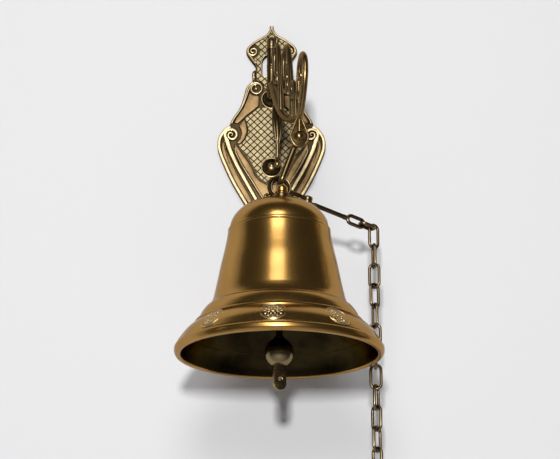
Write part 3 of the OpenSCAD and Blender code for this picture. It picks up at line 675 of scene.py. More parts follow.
def spiral(centre: Point, outer: float, inner: float, start: float, turn: float,
           steps: int = 48) -> list[Point]:
    """Points that wind in round a centre.

    Args:
        centre: The middle of the spiral.
        outer: The radius where it starts.
        inner: The radius where it ends.
        start: The angle where it starts, in degrees.
        turn: The angle that it turns through, in degrees, with its sign.
        steps: The number of steps.

    Returns:
        The points.
    """
    run = []
    for k in range(steps + 1):
        share = k / steps
        angle = math.radians(start + turn * share)
        r = outer + (inner - outer) * share
        run.append((centre[0] + r * math.cos(angle), centre[1] + r * math.sin(angle)))
    return run


def tapered(count: int, first: float, last: float) -> list[float]:
    """Radii that run evenly from first to last."""
    return [first + (last - first) * i / (count - 1) for i in range(count)]


def lifted(points: Sequence[Point], z: float) -> list[tuple[float, float, float]]:
    """Points of a plane at height z."""
    return [(x, y, z) for x, y in points]


def ring_profile(inner: float, outer: float, height: float, bevel: float) -> list[Point]:
    """A closed profile with bevelled corners for a turned ring that is centred on the XY plane."""
    h = height / 2
    return [(inner, bevel - h), (inner + bevel, -h), (outer - bevel, -h),
            (outer - bevel * 0.3, bevel * 0.3 - h), (outer, bevel - h), (outer, h - bevel),
            (outer - bevel * 0.3, h - bevel * 0.3), (outer - bevel, h), (inner + bevel, h),
            (inner, h - bevel)]


def cut_with(piece: Piece, cutter: Piece, operation: str = "DIFFERENCE") -> Piece:
    """Cuts a piece with another, which is used up.

    Args:
        piece: The piece to cut.
        cutter: The piece that cuts it.
        operation: DIFFERENCE or INTERSECT.

    Returns:
        The cut piece.
    """
    modifier = piece.modifiers.new("cut", "BOOLEAN")
    modifier.object = cutter
    modifier.operation = operation
    modifier.solver = "EXACT"
    apply_modifiers(piece)
    bpy.data.objects.remove(cutter)
    return piece


def both_sides(piece: Piece) -> list[Piece]:
    """A piece and its mirror image across the middle of the plate."""
    return [piece, copied(piece, MIRROR)]


# Wall plate

TIP_EDGE = [(0, 89), (1.6, 86.4), (4.8, 81.4), (13.7, 75.8), (19.4, 70.4), (20.4, 65.6), (17, 59.6),
            (13.4, 54.6), (12.8, 50.6)]
BEAD_EDGE = [(14.9, 49.6), (15.8, 45.4), (15, 41.4)]
SHOULDER_EDGE = [(15.6, 40.6), (20.2, 35.6), (22.6, 26.6), (25.6, 17.6), (31.8, 7.6), (33.4, 2.4)]
FLANK_EDGE = [(37.8, -0.6), (42, -7.4), (43, -15), (40.8, -24), (32.4, -43.6), (22.2, -62), (14.6, -74.6),
              (7.6, -82)]
FOOT_EDGE = [(3.4, -84.6), (0, -89)]


@dataclass(frozen=True)
class WallPlate:
    """The cast plate: its body, rims, scrolls, flutes, beads, lattice, fields and bosses."""

    thickness: float = 4.5
    relief: float = 1.35
    root: float = 0.5
    rim_r: float = 1.3
    fine_rim_r: float = 1.15
    flute_h: float = 0.55
    bead_count: int = 15
    lattice_pitch: float = 3.95
    lattice_groove: float = 0.6
    lattice_h: float = 0.7
    lattice_root: float = 0.4
    lattice_bevel: float = 0.14
    field_h: float = 0.9
    field_edge: float = 0.7
    strip_edge: float = 0.5
    keyhole: tuple[float, float, float, float] = (15, 19, 54.5, 2)
    screw_hole: tuple[float, float] = (2.5, -68)
    boss_r: float = 8.5
    boss_h: float = 5.4
    boss_z: tuple[float, float] = (25, -33)

    def half_edge(self, steps: int = 5) -> list[Point]:
        """The right half of the outline from the top tip to the bottom tip."""
        edges = (TIP_EDGE, BEAD_EDGE, SHOULDER_EDGE, FLANK_EDGE, FOOT_EDGE)
        return [(x * 0.999, y * 0.999) for edge in edges for x, y in spline(edge, steps)]

    def outline(self) -> list[Point]:
        """The whole outline."""
        half = self.half_edge()
        return half + [(-x, y) for x, y in reversed(half[1:-1])]

    def keyhole_loop(self, grow: float = 0) -> list[Point]:
        """The keyhole's edge, arched at the top, made larger by grow."""
        width, height, z, corner = self.keyhole
        r = width / 2
        low = z - height / 2
        arch_z = z + height / 2 - r
        run = [(x, y) for x, y in circle(0, arch_z, r + grow, 32) if y >= arch_z - 0.01]
        for side, first in ((-1, 180), (1, 270)):
            for k in range(5):
                a = math.radians(first + 22.5 * k)
                run.append((side * (r - corner) + (corner + grow) * math.cos(a),
                            low + corner + (corner + grow) * math.sin(a)))
        return run

    def make_body(self) -> Piece:
        """The plate's body with its two holes."""
        loops = [self.outline(), self.keyhole_loop(), circle(0, self.screw_hole[1], self.screw_hole[0], 24)]
        return flat_pad("plate", loops, self.thickness, 0.55)

    def ridge(self, points: Sequence[Point], radii: Sequence[float] | float, sink: float = 0.0) -> Piece:
        """A rounded ridge on the plate's face along points."""
        if isinstance(radii, (int, float)):
            radii = [float(radii)] * len(points)
        path = [(x, y, self.thickness + min(self.relief - sink - r, 0.45 * r))
                for (x, y), r in zip(points, radii)]
        return swept("ridge", path, radii, 14)

    def raised(self, loop: Sequence[Point], height: float, edge: float) -> Piece:
        """A flat raised shape on the plate's face, of a height over it and with rounded edges."""
        pad = flat_pad("raised", [loop], height + self.root, edge, 3)
        return place(pad, shift_by(z=self.thickness - self.root))

    def strip(self, points: Sequence[Point], halves: Sequence[float], height: float, edge: float) -> Piece:
        """A flat raised band on the plate's face.

        Args:
            points: Its middle line.
            halves: Half its width at each point.
            height: Its height over the face.
            edge: The rounding of its edges.

        Returns:
            The band.
        """
        sides: list[list[Point]] = [[], []]
        for i, (x, y) in enumerate(points):
            ahead = Vector(points[min(i + 1, len(points) - 1)]) - Vector(points[max(i - 1, 0)])
            ahead.normalize()
            for side, run in zip((1, -1), sides):
                run.append((x - side * ahead.y * halves[i], y + side * ahead.x * halves[i]))
        return self.raised(sides[0] + sides[1][::-1], height, edge)

    def make_scrolls(self) -> Piece:
        """Every rim, rib and scroll of the plate."""
        left: list[Piece] = []
        flip = [(-x, y) for x, y in self.half_edge(6)]
        inset = shifted(flip, self.rim_r + 0.05)
        head = [p for p in inset if p[1] > 55.5]
        head[0] = (0, 86.6)
        left.append(self.ridge(head, tapered(len(head), self.fine_rim_r, 0.9)))
        shoulder = [p for p in inset if 3.4 < p[1] < 39.6]
        left.append(self.ridge(shoulder, self.fine_rim_r))
        flank = [p for p in inset if -87 < p[1] < 1.5]
        left.append(self.strip(flank, [self.rim_r] * len(flank), self.relief, self.strip_edge))
        pill = spline([(-13.9, 49), (-14.4, 45.4), (-13.8, 41.8)], 5)
        left.append(self.ridge(pill, [0.9] + [1.5] * (len(pill) - 2) + [0.9], 0.1))
        top_curl = spiral((-15, 66.5), 4.1, 0.9, 160, 520)
        left.append(self.ridge(top_curl, tapered(len(top_curl), 1.3, 0.8)))
        inner_rim = spline([(-31.2, 4.6), (-29.4, 8.4), (-24, 17), (-20.4, 26.4), (-18.2, 33.4)], 6)
        middle_curl = inner_rim + spiral((-12.4, 34), 5.1, 3.6, 132, -400)
        left.append(self.ridge(middle_curl, tapered(len(middle_curl), 0.8, 1.25)))
        left.append(ball("knob", (1.6, 1.6, 1.4), (-12.4, 34, self.thickness + 0.4), 16))
        band = spline([(-1.6, -79), (-6.6, -70), (-13.2, -58), (-20, -45.4), (-27.2, -31.6),
                       (-32.6, -19.4), (-35.4, -10.4)], 6)
        eye = (-32.2, -5.6)
        curl = spiral(eye, 4.9, 4.3, 205, -250, 24)
        curl += spiral(eye, 4.3, 2.4, -45, -110, 12)[1:] + spiral(eye, 2.4, 0.7, -155, -300, 30)[1:]
        halves = tapered(len(band), 1.1, 1.8) + tapered(len(curl), 1.3, 0.5)
        left.append(self.strip(band + curl, halves, self.relief, self.strip_edge))
        lip = spline([(-28.9, -17), (-28.2, -21), (-24.4, -29.2), (-20.4, -36.3), (-15.9, -43.7),
                      (-11.6, -51), (-6.4, -59.6)], 6)
        left.append(self.ridge(lip, tapered(len(lip), 0.7, 1.0)))
        pieces = [half for piece in left for half in both_sides(piece)]
        pieces.append(self.ridge(self.keyhole_loop(0.7) + self.keyhole_loop(0.7)[:1], 0.5, 0.7))
        return joined(pieces, "plate_scrolls")

    def make_flutes(self) -> Piece:
        """The shallow flats between the rim and the broad band of each flank."""
        flip = [(-x, y) for x, y in self.half_edge(6)]
        run = [p for p in shifted(flip, 2 * self.rim_r + 2.2) if -72 < p[1] < -10]
        last = len(run) - 1
        narrow, swell = 0.5, 1.4
        halves = [narrow + swell * min(1, 3 * i / last, 4 * (last - i) / last) for i in range(len(run))]
        return joined(both_sides(self.strip(run, halves, self.flute_h, 0.3)), "plate_flutes")

    def make_beads(self) -> Piece:
        """The two rows of beads that taper down the flanks."""
        pieces = []
        for i in range(self.bead_count):
            share = i / (self.bead_count - 1)
            r = 0.95 - 0.45 * share
            x = -37.4 + 1.4 * share + 2.8 * share * share
            y = -11.2 - 18.2 * share
            bead = ball("bead", (r, r, r), (x, y, self.thickness + 0.4), 10)
            pieces += both_sides(bead)
        return joined(pieces, "plate_beads")

    def lattice(self, loops: Sequence[Sequence[Point]]) -> Piece:
        """A field of bevelled tiles on their corners, cut to an outline.

        Args:
            loops: The outline and any holes.

        Returns:
            The tiles that lie inside.
        """
        xs = [x for x, _ in loops[0]]
        ys = [y for _, y in loops[0]]
        middle = ((min(xs) + max(xs)) / 2, (min(ys) + max(ys)) / 2)
        reach = math.hypot(max(xs) - min(xs), max(ys) - min(ys))
        count = int(reach / self.lattice_pitch) + 2
        bpy.ops.mesh.primitive_cube_add(size=MM)
        tile = bpy.context.object
        side = self.lattice_pitch - self.lattice_groove
        with editing(tile):
            bpy.ops.transform.resize(value=(side, side, self.lattice_h + self.lattice_root))
        choose_faces(tile, lambda centre, normal: normal.z > 0.5)
        bpy.ops.object.mode_set(mode="EDIT")
        bpy.ops.mesh.bevel(offset=self.lattice_bevel * MM, segments=1)
        bpy.ops.object.mode_set(mode="OBJECT")
        for axis in (0, 1):
            row = tile.modifiers.new("row", "ARRAY")
            row.count = count
            row.use_relative_offset = False
            row.use_constant_offset = True
            offset = [0.0, 0.0, 0.0]
            offset[axis] = self.lattice_pitch * MM
            row.constant_offset_displace = offset
        apply_modifiers(tile)
        back = -(count - 1) / 2 * self.lattice_pitch
        top = self.thickness + (self.lattice_h - self.lattice_root) / 2
        place(tile, shift_by(*middle, top) @ turn_by(45, "Z") @ shift_by(back, back))
        stencil = flat_pad("stencil", loops, 6, 0.01, 0)
        place(stencil, shift_by(z=2))
        return cut_with(tile, stencil, "INTERSECT")

    def make_lattice(self) -> Piece:
        """The central lattice and the one round the keyhole."""
        half = [(0, 17.4), (-8, 17.6), (-10.2, 17.2), (-14.5, 13.5), (-20, 9), (-20.6, 7.5), (-18.8, 2),
                (-18.4, -3), (-20.1, -8.5), (-22.8, -12.5), (-25.9, -14.5), (-21.2, -21), (-16.4, -28),
                (-13.6, -33), (-11.4, -39), (-8, -43), (-4, -45.5), (0, -46)]
        central = self.lattice([half + [(-x, y) for x, y in reversed(half[1:-1])]])
        half = [(0, 84.4), (-2.6, 80.6), (-8, 76.4), (-13.4, 72.8), (-11, 70.8), (-9.4, 68), (-9.4, 64.8),
                (-11, 62), (-13.6, 60.6), (-13.8, 58.6), (-11.2, 54.6), (-11.4, 50), (-12, 45.4),
                (-11.4, 41.4), (-8.6, 39.6), (-6.4, 37.2), (-5.4, 34.2), (0, 35.2)]
        neck = self.lattice([half + [(-x, y) for x, y in reversed(half[1:-1])], self.keyhole_loop(1.1)])
        return joined([central, neck], "plate_lattice")

    def make_fields(self) -> Piece:
        """The smooth raised fields beside the lattice."""
        upper = [(-10.4, 18.6), (-14.6, 15), (-20.4, 10.2), (-24, 6.4), (-27.6, 3.8), (-30, 5),
                 (-28.2, 8.6), (-22.8, 17.2), (-19.2, 26.2), (-18, 31), (-14.6, 28.4), (-10, 28.2),
                 (-9.8, 25), (-9.9, 21)]
        crescent = [(-21.4, 7.8), (-19.6, 2), (-19.2, -3), (-20.8, -8), (-23.4, -11.8), (-26.6, -13.6),
                    (-27.6, -11.6), (-25.2, -8.8), (-24, -4.5), (-24.4, -1.4), (-26.2, 1.6), (-24.6, 4.6)]
        lower = [(-28, -13.6), (-22.8, -22), (-17.8, -29), (-15, -34), (-12.8, -39.8), (-9, -44.4),
                 (-4.6, -47), (0, -47.6), (0, -69), (-4.6, -62), (-10.6, -52), (-15.4, -43.7),
                 (-20.2, -35.6), (-23.9, -29), (-27, -23), (-29, -18), (-29.6, -13.4)]
        pieces = []
        for loop in (upper, crescent, lower):
            pieces += both_sides(self.raised(loop, self.field_h, self.field_edge))
        return joined(pieces, "plate_fields")

    def boss(self, z: float) -> Piece:
        """A domed boss with a ring at its foot and a button on top."""
        r = self.boss_r
        h = self.boss_h
        profile = [(r, -0.4), (r, 0.5), (r - 0.25, 0.9), (r - 0.7, 1.05), (r - 1.15, 0.9), (r - 1.35, 0.5)]
        for k in range(11):
            a = TURN / 4 * k / 11
            profile.append(((r - 1.5) * math.cos(a), 0.7 + (h - 0.9) * math.sin(a)))
        profile += [(1.3, h - 0.15), (1.1, h), (0, h)]
        return place(turned("boss", profile, 48), shift_by(y=z, z=self.thickness))

    def build(self, shop: Workshop) -> None:
        """Makes and dresses the plate."""
        wall = PLACE.wall()
        body = place(self.make_body(), wall)
        shop.dress(body, "plate_body", "wall", GROUND_BRASS, Slot.CAST, "wall_plate")
        shop.dress(place(self.make_scrolls(), wall), "plate_scrolls", "wall", PLATE_BRASS, Slot.CAST)
        shop.dress(place(self.make_flutes(), wall), "plate_flutes", "wall", FIELD_BRASS, Slot.CAST)
        shop.dress(place(self.make_beads(), wall), "plate_beads", "wall", BRACKET_BRASS, Slot.CAST)
        shop.dress(place(self.make_lattice(), wall), "plate_lattice", "wall", LATTICE_BRASS, Slot.CAST)
        shop.dress(place(self.make_fields(), wall), "plate_fields", "wall", FIELD_BRASS, Slot.CAST)
        lower = place(self.boss(self.boss_z[1]), wall)
        shop.dress(lower, "plate_lower_boss", "wall", BRACKET_BRASS, Slot.AGED, "lower_boss")


@dataclass(frozen=True)
class Hinge:
    """The two lugs of the plate and the pin between them."""

    pin_r: float = 2.0
    eye_r: float = 3.8
    lug_h: float = 6.0
    upper_z: float = 69.0
    lower_z: float = 25.0
    plate_t: float = 4.5

    def lug(self, z: float) -> Piece:
        """An eye with its neck back to the plate."""
        eye = turned("eye", ring_profile(self.pin_r, self.eye_r, self.lug_h, 0.7), 40, closed=True)
        place(eye, shift_by(y=-PLACE.hinge_out, z=z))
        w = self.eye_r * 0.75
        length = PLACE.hinge_out - self.plate_t - self.pin_r - 0.6
        start = -self.plate_t + 0.6
        loop = [(-w, start), (w, start), (w * 0.86, start - length / 2), (w, start - length),
                (-w, start - length), (-w * 0.86, start - length / 2)]
        neck = flat_pad("neck", [loop], self.lug_h - 0.4, 0.7)
        place(neck, shift_by(z=z - self.lug_h / 2 + 0.2))
        return joined([eye, neck], "lug")

    def build(self, shop: Workshop, plate: WallPlate) -> None:
        """Makes and dresses the lugs and the pin."""
        upper = self.lug(self.upper_z)
        foot = place(turned("foot", [(4.6, -0.3), (4.6, 0.3), (4.2, 0.7), (0, 0.8)], 40),
                     PLACE.wall(self.plate_t) @ shift_by(y=self.upper_z))
        shop.dress(joined([upper, foot], "lug"), "hinge_upper_lug", "wall", BRACKET_BRASS, Slot.AGED,
                   "upper_hinge_lug")
        boss = place(plate.boss(self.lower_z), PLACE.wall())
        shop.dress(joined([self.lug(self.lower_z), boss], "lug"), "hinge_lower_lug", "wall",
                   BRACKET_BRASS, Slot.AGED, "lower_hinge_lug")
        bottom = self.lower_z - self.lug_h / 2
        top = self.upper_z + self.lug_h / 2
        rivet_r = self.pin_r + 0.8
        profile = [(0, bottom - 1.8), (1.2, bottom - 1.65), (2.2, bottom - 1.15), (rivet_r, bottom - 0.5),
                   (rivet_r, bottom - 0.05), (self.pin_r, bottom - 0.02), (self.pin_r, top),
                   (self.eye_r - 0.2, top), (self.eye_r, top + 0.25), (self.eye_r - 0.2, top + 0.6),
                   (3.1, top + 0.8), (2.8, top + 1.5), (2.2, top + 2.1), (1.2, top + 2.5), (0, top + 2.6)]
        pin = place(turned("pin", profile, 40), shift_by(y=-PLACE.hinge_out))
        shop.dress(pin, "hinge_long_pin", "wall", BRACKET_BRASS, Slot.PIN, "hinge_pin")


# Bracket

ARM_LINE = [(0, 36), (8, 25), (20, 10), (36, -5), (54, -16), (73, -24), (91.4, -29.4)]
TAIL_LINE = [(12, 18), (16.5, 5), (20.5, -10), (22, -22), (20.5, -35.5)]
REAR_LINE = [(33, -2), (32.5, 12), (30.5, 28), (28, 44), (24.6, 55), (19, 60), (13, 57), (10.4, 49),
             (10.6, 38), (14, 29), (19, 28), (20.6, 33)]
MIDDLE_LINE = [(71, -23), (69.5, -8), (67, 8), (64, 24), (60, 37), (54, 44), (47, 43), (42.6, 35), (42, 24),
               (45, 12), (50.6, 7), (55, 10.6), (54.6, 16)]
BUD_LINE = [(83, -27), (82.4, -16), (80.6, -4), (76.6, 5), (70.6, 6), (68.4, 0), (71, -6), (74.6, -5)]
FRONT_LINE = [(93, -31), (100, -25), (108, -13), (112.4, 0), (110.6, 11), (104, 16.4), (97, 12.6), (93, 4),
              (91.4, -7), (94, -15.6), (99.6, -15.6), (101.6, -8), (100, -1)]


@dataclass(frozen=True)
class Bracket:
    """The swinging bracket: post, arm, scrolls, leaf, drop and palm."""

    arm_d: float = 6.4
    scroll_d: float = 4.4
    post_bottom: float = 28.3
    post_top: float = 65.7
    post_r: float = 3.8
    palm_r: float = 7.5
    palm_t: float = 3.0
    palm_rise: float = 17.5
    palm_sink: float = 2.6
    palm_out: float = 93.0

    def strands(self, line: Sequence[Point], d: float, tip_d: float) -> list[Piece]:
        """A bar's round core and the bead along each of its sides, in the bracket's plane.

        Args:
            line: The points that the bar runs through.
            d: The diameter where it starts.
            tip_d: The diameter where it ends.

        Returns:
            The core and the two beads.
        """
        run = spline(line, 7)
        radii = tapered(len(run), d / 2, tip_d / 2)
        pieces = [swept("core", lifted(run, 0), [r * 0.88 for r in radii], 14)]
        for side in (-1, 1):
            path = [(x, y, side * r * 0.7) for (x, y), r in zip(run, radii)]
            pieces.append(swept("bead", path, [r * 0.36 for r in radii], 8))
        return pieces

    def reeded(self, line: Sequence[Point], d: float, tip_d: float, ball_d: float = 0) -> Piece:
        """A bar of three strands with a ball of ball_d at its end, or with none if that is 0."""
        run = spline(line, 7)
        pieces = self.strands(line, d, tip_d)
        if ball_d:
            before, end = Vector(run[-2]), Vector(run[-1])
            centre = end + (end - before).normalized() * ball_d * 0.3
            pieces.append(ball("knob", (ball_d / 2,) * 3, (*centre, 0), 20))
        return joined(pieces, "bar")

    def make_post(self) -> Piece:
        """The sleeve on the hinge pin, with a bead at each end and in the middle."""
        r = self.post_r
        profile = [(2.05, self.post_bottom), (r + 0.2, self.post_bottom),
                   (r + 0.5, self.post_bottom + 0.5), (r + 0.5, self.post_bottom + 1.4),
                   (r + 0.2, self.post_bottom + 1.9), (r - 0.1, self.post_bottom + 2)]
        for z in (46.0, 48.0, 50.0):
            profile += [(r - 0.2, z - 1), (r, z - 0.5), (r + 0.12, z), (r, z + 0.5), (r - 0.2, z + 1)]
        profile += [(r - 0.1, self.post_top - 2), (r + 0.2, self.post_top - 1.9),
                    (r + 0.5, self.post_top - 1.4), (r + 0.5, self.post_top - 0.5),
                    (r + 0.2, self.post_top), (2.05, self.post_top)]
        return place(turned("post", profile, 40, closed=True), PLACE.hinge())

    def make_arm(self) -> Piece:
        """The bent arm, cut where it meets the post."""
        cutter = turned("cutter", [(0, 0), (self.post_r - 0.2, 0), (self.post_r - 0.2, 60), (0, 60)], 40)
        place(cutter, PLACE.hinge())
        bars = []
        for bar in self.strands(ARM_LINE, self.arm_d, self.arm_d * 0.86):
            bars.append(cut_with(place(bar, PLACE.bracket()), copied(cutter, Matrix())))
        bpy.data.objects.remove(cutter)
        return joined(bars, "arm")

    def make_drop(self) -> Piece:
        """The turned drop under the tail."""
        x, y = TAIL_LINE[-1]
        profile = [(0, 1.4), (1.2, 1.2), (1.9, 0.5), (1.9, 0), (1.3, -0.5), (1.1, -1.1), (1.5, -1.5),
                   (1.7, -1.9), (1.4, -2.3), (1.6, -3), (2.1, -4), (2.38, -5.2), (2.3, -6.3), (1.8, -7.4),
                   (1, -8), (0, -8)]
        drop = turned("drop", [(r, z) for r, z in reversed(profile)], 32)
        return place(drop, PLACE.bracket() @ shift_by(x, y) @ turn_by(-90, "X"))

    def make_tail_leaf(self) -> Piece:
        """The fleshy leaf that wraps the tail where it leaves the arm."""
        run = spline([(13, 15), (16.6, 4.6), (20.2, -8), (21.9, -19), (21.6, -27)], 8)
        last = len(run) - 1
        radii = [0.7 + 2.5 * math.sin(math.pi * min(1, 0.12 + i / last)) ** 0.8
                 for i in range(last)] + [0.7]
        vein = swept("vein", lifted(run, 0), radii, 16)
        flesh = []
        for side in (-1, 1):
            lobe = [(x + 0.8, y, side * 2.6 * math.sin(math.pi * i / last)) for i, (x, y) in enumerate(run)]
            flesh.append(swept("lobe", lobe, [max(0.5, r * 0.55) for r in radii], 12))
        return joined([vein] + flesh, "tail_leaf")

    def make_leaf(self) -> Piece:
        """The bud of three leaves on the rear scroll."""
        pieces = []
        for lean, long in ((-20, 9.6), (20, 9.6), (0, 11.4)):
            leaf = ball("leaf", (1.35, long / 2, 1.6), (0, long / 2, 0), 16)
            pieces.append(place(leaf, turn_by(lean, "Z")))
        profile = [(0, -0.4), (2, -0.2), (2.6, 0.6), (2.3, 1.5), (1.2, 2), (0, 2.1)]
        collar = place(turned("collar", profile, 24), turn_by(-90, "X"))
        bud = joined(pieces + [collar], "bud")
        return place(bud, PLACE.bracket() @ shift_by(18, 57.6) @ turn_by(6, "Z"))

    def palm_loop(self, inset: float = 0) -> list[Point]:
        """The palm's teardrop outline."""
        r = self.palm_r - inset
        low_r = r - 1.2
        tip = 2.2 - inset
        high = self.palm_rise - 2.2
        lean = math.degrees(math.asin((r - tip) / high))
        drop = math.degrees(math.asin((r - low_r) / self.palm_sink))
        run = []
        for centre, radius, first, last, steps in (
                (0, r, lean, -drop, 10), (-self.palm_sink, low_r, -drop, drop - 180, 24),
                (0, r, drop - 180, -180 - lean, 10), (high, tip, 180 - lean, lean, 12)):
            for k in range(steps + 1):
                a = math.radians(first + (last - first) * k / steps)
                run.append((radius * math.cos(a), centre + radius * math.sin(a)))
        return run

    def make_palm(self) -> Piece:
        """The dished palm with its rim and its rib."""
        back = self.palm_out - self.palm_t / 2
        front = self.palm_out + self.palm_t / 2
        pad = flat_pad("pad", [self.palm_loop(0.3), circle(0, 0, 2.0, 24)], self.palm_t - 0.5, 0.6)
        place(pad, shift_by(z=back))
        rim = swept("rim", lifted(self.palm_loop(0.9), front - 0.9), 0.9, 12, closed=True)
        dish = [(2.1, -1.2), (3.4, -1.2), (3.4, -1.0), (4.6, -0.9), (5.6, -0.65), (6.1, -0.35), (6.1, -1.2)]
        bowl = place(turned("bowl", dish, 48, closed=True), shift_by(z=front))
        run = spline([(0, 3.6), (0, 8), (0, 13), (0, 17)], 5)
        rib = swept("rib", [(x, y, front - 0.9) for x, y in run], tapered(len(run), 2.0, 1.0), 12)
        return place(joined([pad, rim, bowl, rib], "palm"), PLACE.palm())

    def make_rivet(self) -> Piece:
        """The palm's rivet with a round head at each end."""
        front = self.palm_out + self.palm_t / 2
        back = PLACE.rod_reach - 3.6
        profile = [(0, back - 1.6), (1.6, back - 1.4), (2.7, back - 0.8), (3.2, back), (2.0, back),
                   (2.0, front), (3.4, front), (3.5, front + 0.3), (3.2, front + 0.5), (2.9, front + 1.2),
                   (2.2, front + 1.9), (1.2, front + 2.3), (0, front + 2.4)]
        return place(turned("rivet", profile, 36), PLACE.palm())

    def build(self, shop: Workshop) -> None:
        """Makes and dresses the bracket."""
        plane = PLACE.bracket()
        shop.dress(self.make_post(), "bracket_sleeve", "bracket", BRACKET_BRASS, Slot.AGED, "bracket_post")
        shop.dress(self.make_arm(), "bracket_arm", "bracket", BRACKET_BRASS, Slot.CAST, "main_arm")
        stem = self.reeded(TAIL_LINE, self.scroll_d, self.scroll_d * 0.6)
        tail = joined([stem, self.make_tail_leaf()], "tail")
        shop.dress(place(tail, plane), "bracket_tail", "bracket", BRACKET_BRASS, Slot.AGED, "tail_scroll")
        shop.dress(self.make_drop(), "bracket_drop", "bracket", BRIGHT_BRASS, Slot.CAST, "drop_finial")
        curls = (
            ("bracket_rear_curl", "rear_scroll", REAR_LINE, 4.4, 3.3, 6.0, BRACKET_BRASS, Slot.AGED),
            ("bracket_middle_curl", "middle_scroll", MIDDLE_LINE, 4.4, 3.3, 6.0, BRACKET_BRASS, Slot.CAST),
            ("bracket_bud_curl", "bud_scroll", BUD_LINE, 4.0, 2.6, 5.4, BRACKET_BRASS, Slot.AGED),
            ("bracket_front_curl", "front_scroll", FRONT_LINE, 4.8, 3.4, 6.0, BRIGHT_BRASS, Slot.POLISHED))
        for name, node, line, d, tip, knob, finish, slot in curls:
            curl = place(self.reeded(line, d, tip, knob), plane)
            shop.dress(curl, name, "bracket", finish, slot, node)
        shop.dress(self.make_leaf(), "bracket_leaf", "bracket", BRACKET_BRASS, Slot.AGED, "crest_leaf")
        shop.dress(self.make_palm(), "bracket_palm", "bracket", BRIGHT_BRASS, Slot.CAST, "palm")
        shop.dress(self.make_rivet(), "bracket_rivet", "bracket", BRIGHT_BRASS, Slot.POLISHED, "palm_rivet")
        washer = turned("washer", ring_profile(2.0, 4.1, 1.0, 0.2), 32, closed=True)
        place(washer, PLACE.palm() @ shift_by(z=PLACE.rod_reach - 3.1))
        shop.dress(washer, "bracket_washer", "bracket", BRACKET_BRASS, Slot.AGED, "rivet_washer")


@dataclass(frozen=True)
class HangingHook:
    """The rod that hangs from the palm, with an eye above and a hook below."""

    bend: float = 4.7
    rod_r: float = 2.65
    hook_r: float = 2.2
    eye_r: float = 4.6
    eye_t: float = 4.6

    def build(self, shop: Workshop) -> None:
        """Makes and dresses the hook."""
        eye = turned("eye", ring_profile(2.05, self.eye_r, self.eye_t, 0.9), 40, closed=True)
        place(eye, turn_by(90, "X"))
        bend_z = self.bend - PLACE.hook_l
        path = [(0.0, 0.0, -3.4), (0.0, 0.0, -5.5)]
        radii = [2.2, self.rod_r]
        for z in (-12, -20, bend_z + 6, bend_z + 4, bend_z + 2, bend_z):
            path.append((0.0, 0.0, z))
            radii.append(self.rod_r if z > bend_z + 5 else self.hook_r + 0.45 * (z - bend_z) / 5)
        for k in range(1, 17):
            a = math.pi * k / 16
            path.append((0.0, self.bend * (1 - math.cos(a)), bend_z - self.bend * math.sin(a)))
            radii.append(self.hook_r)
        for rise, r in ((2, 2.2), (2.9, 2.15), (3.5, 1.85), (4, 1.35), (4.35, 0.6)):
            path.append((0.0, 2 * self.bend, bend_z + rise))
            radii.append(r)
        rod = swept("rod", path, radii, 20)
        hook = place(joined([eye, rod], "hook"), PLACE.hook())
        shop.dress(hook, "hanger_hook", "hanger", HOOK_BRASS, Slot.CAST, "hanging_hook")


# Bell


# The waist's radii and heights, which the outer skin and the cavity share
WAIST_LINE = [(38.4, 84.5), (40.3, 75.3), (42.4, 66.2), (44.2, 56.8), (46.1, 47.7), (47.2, 42.5)]


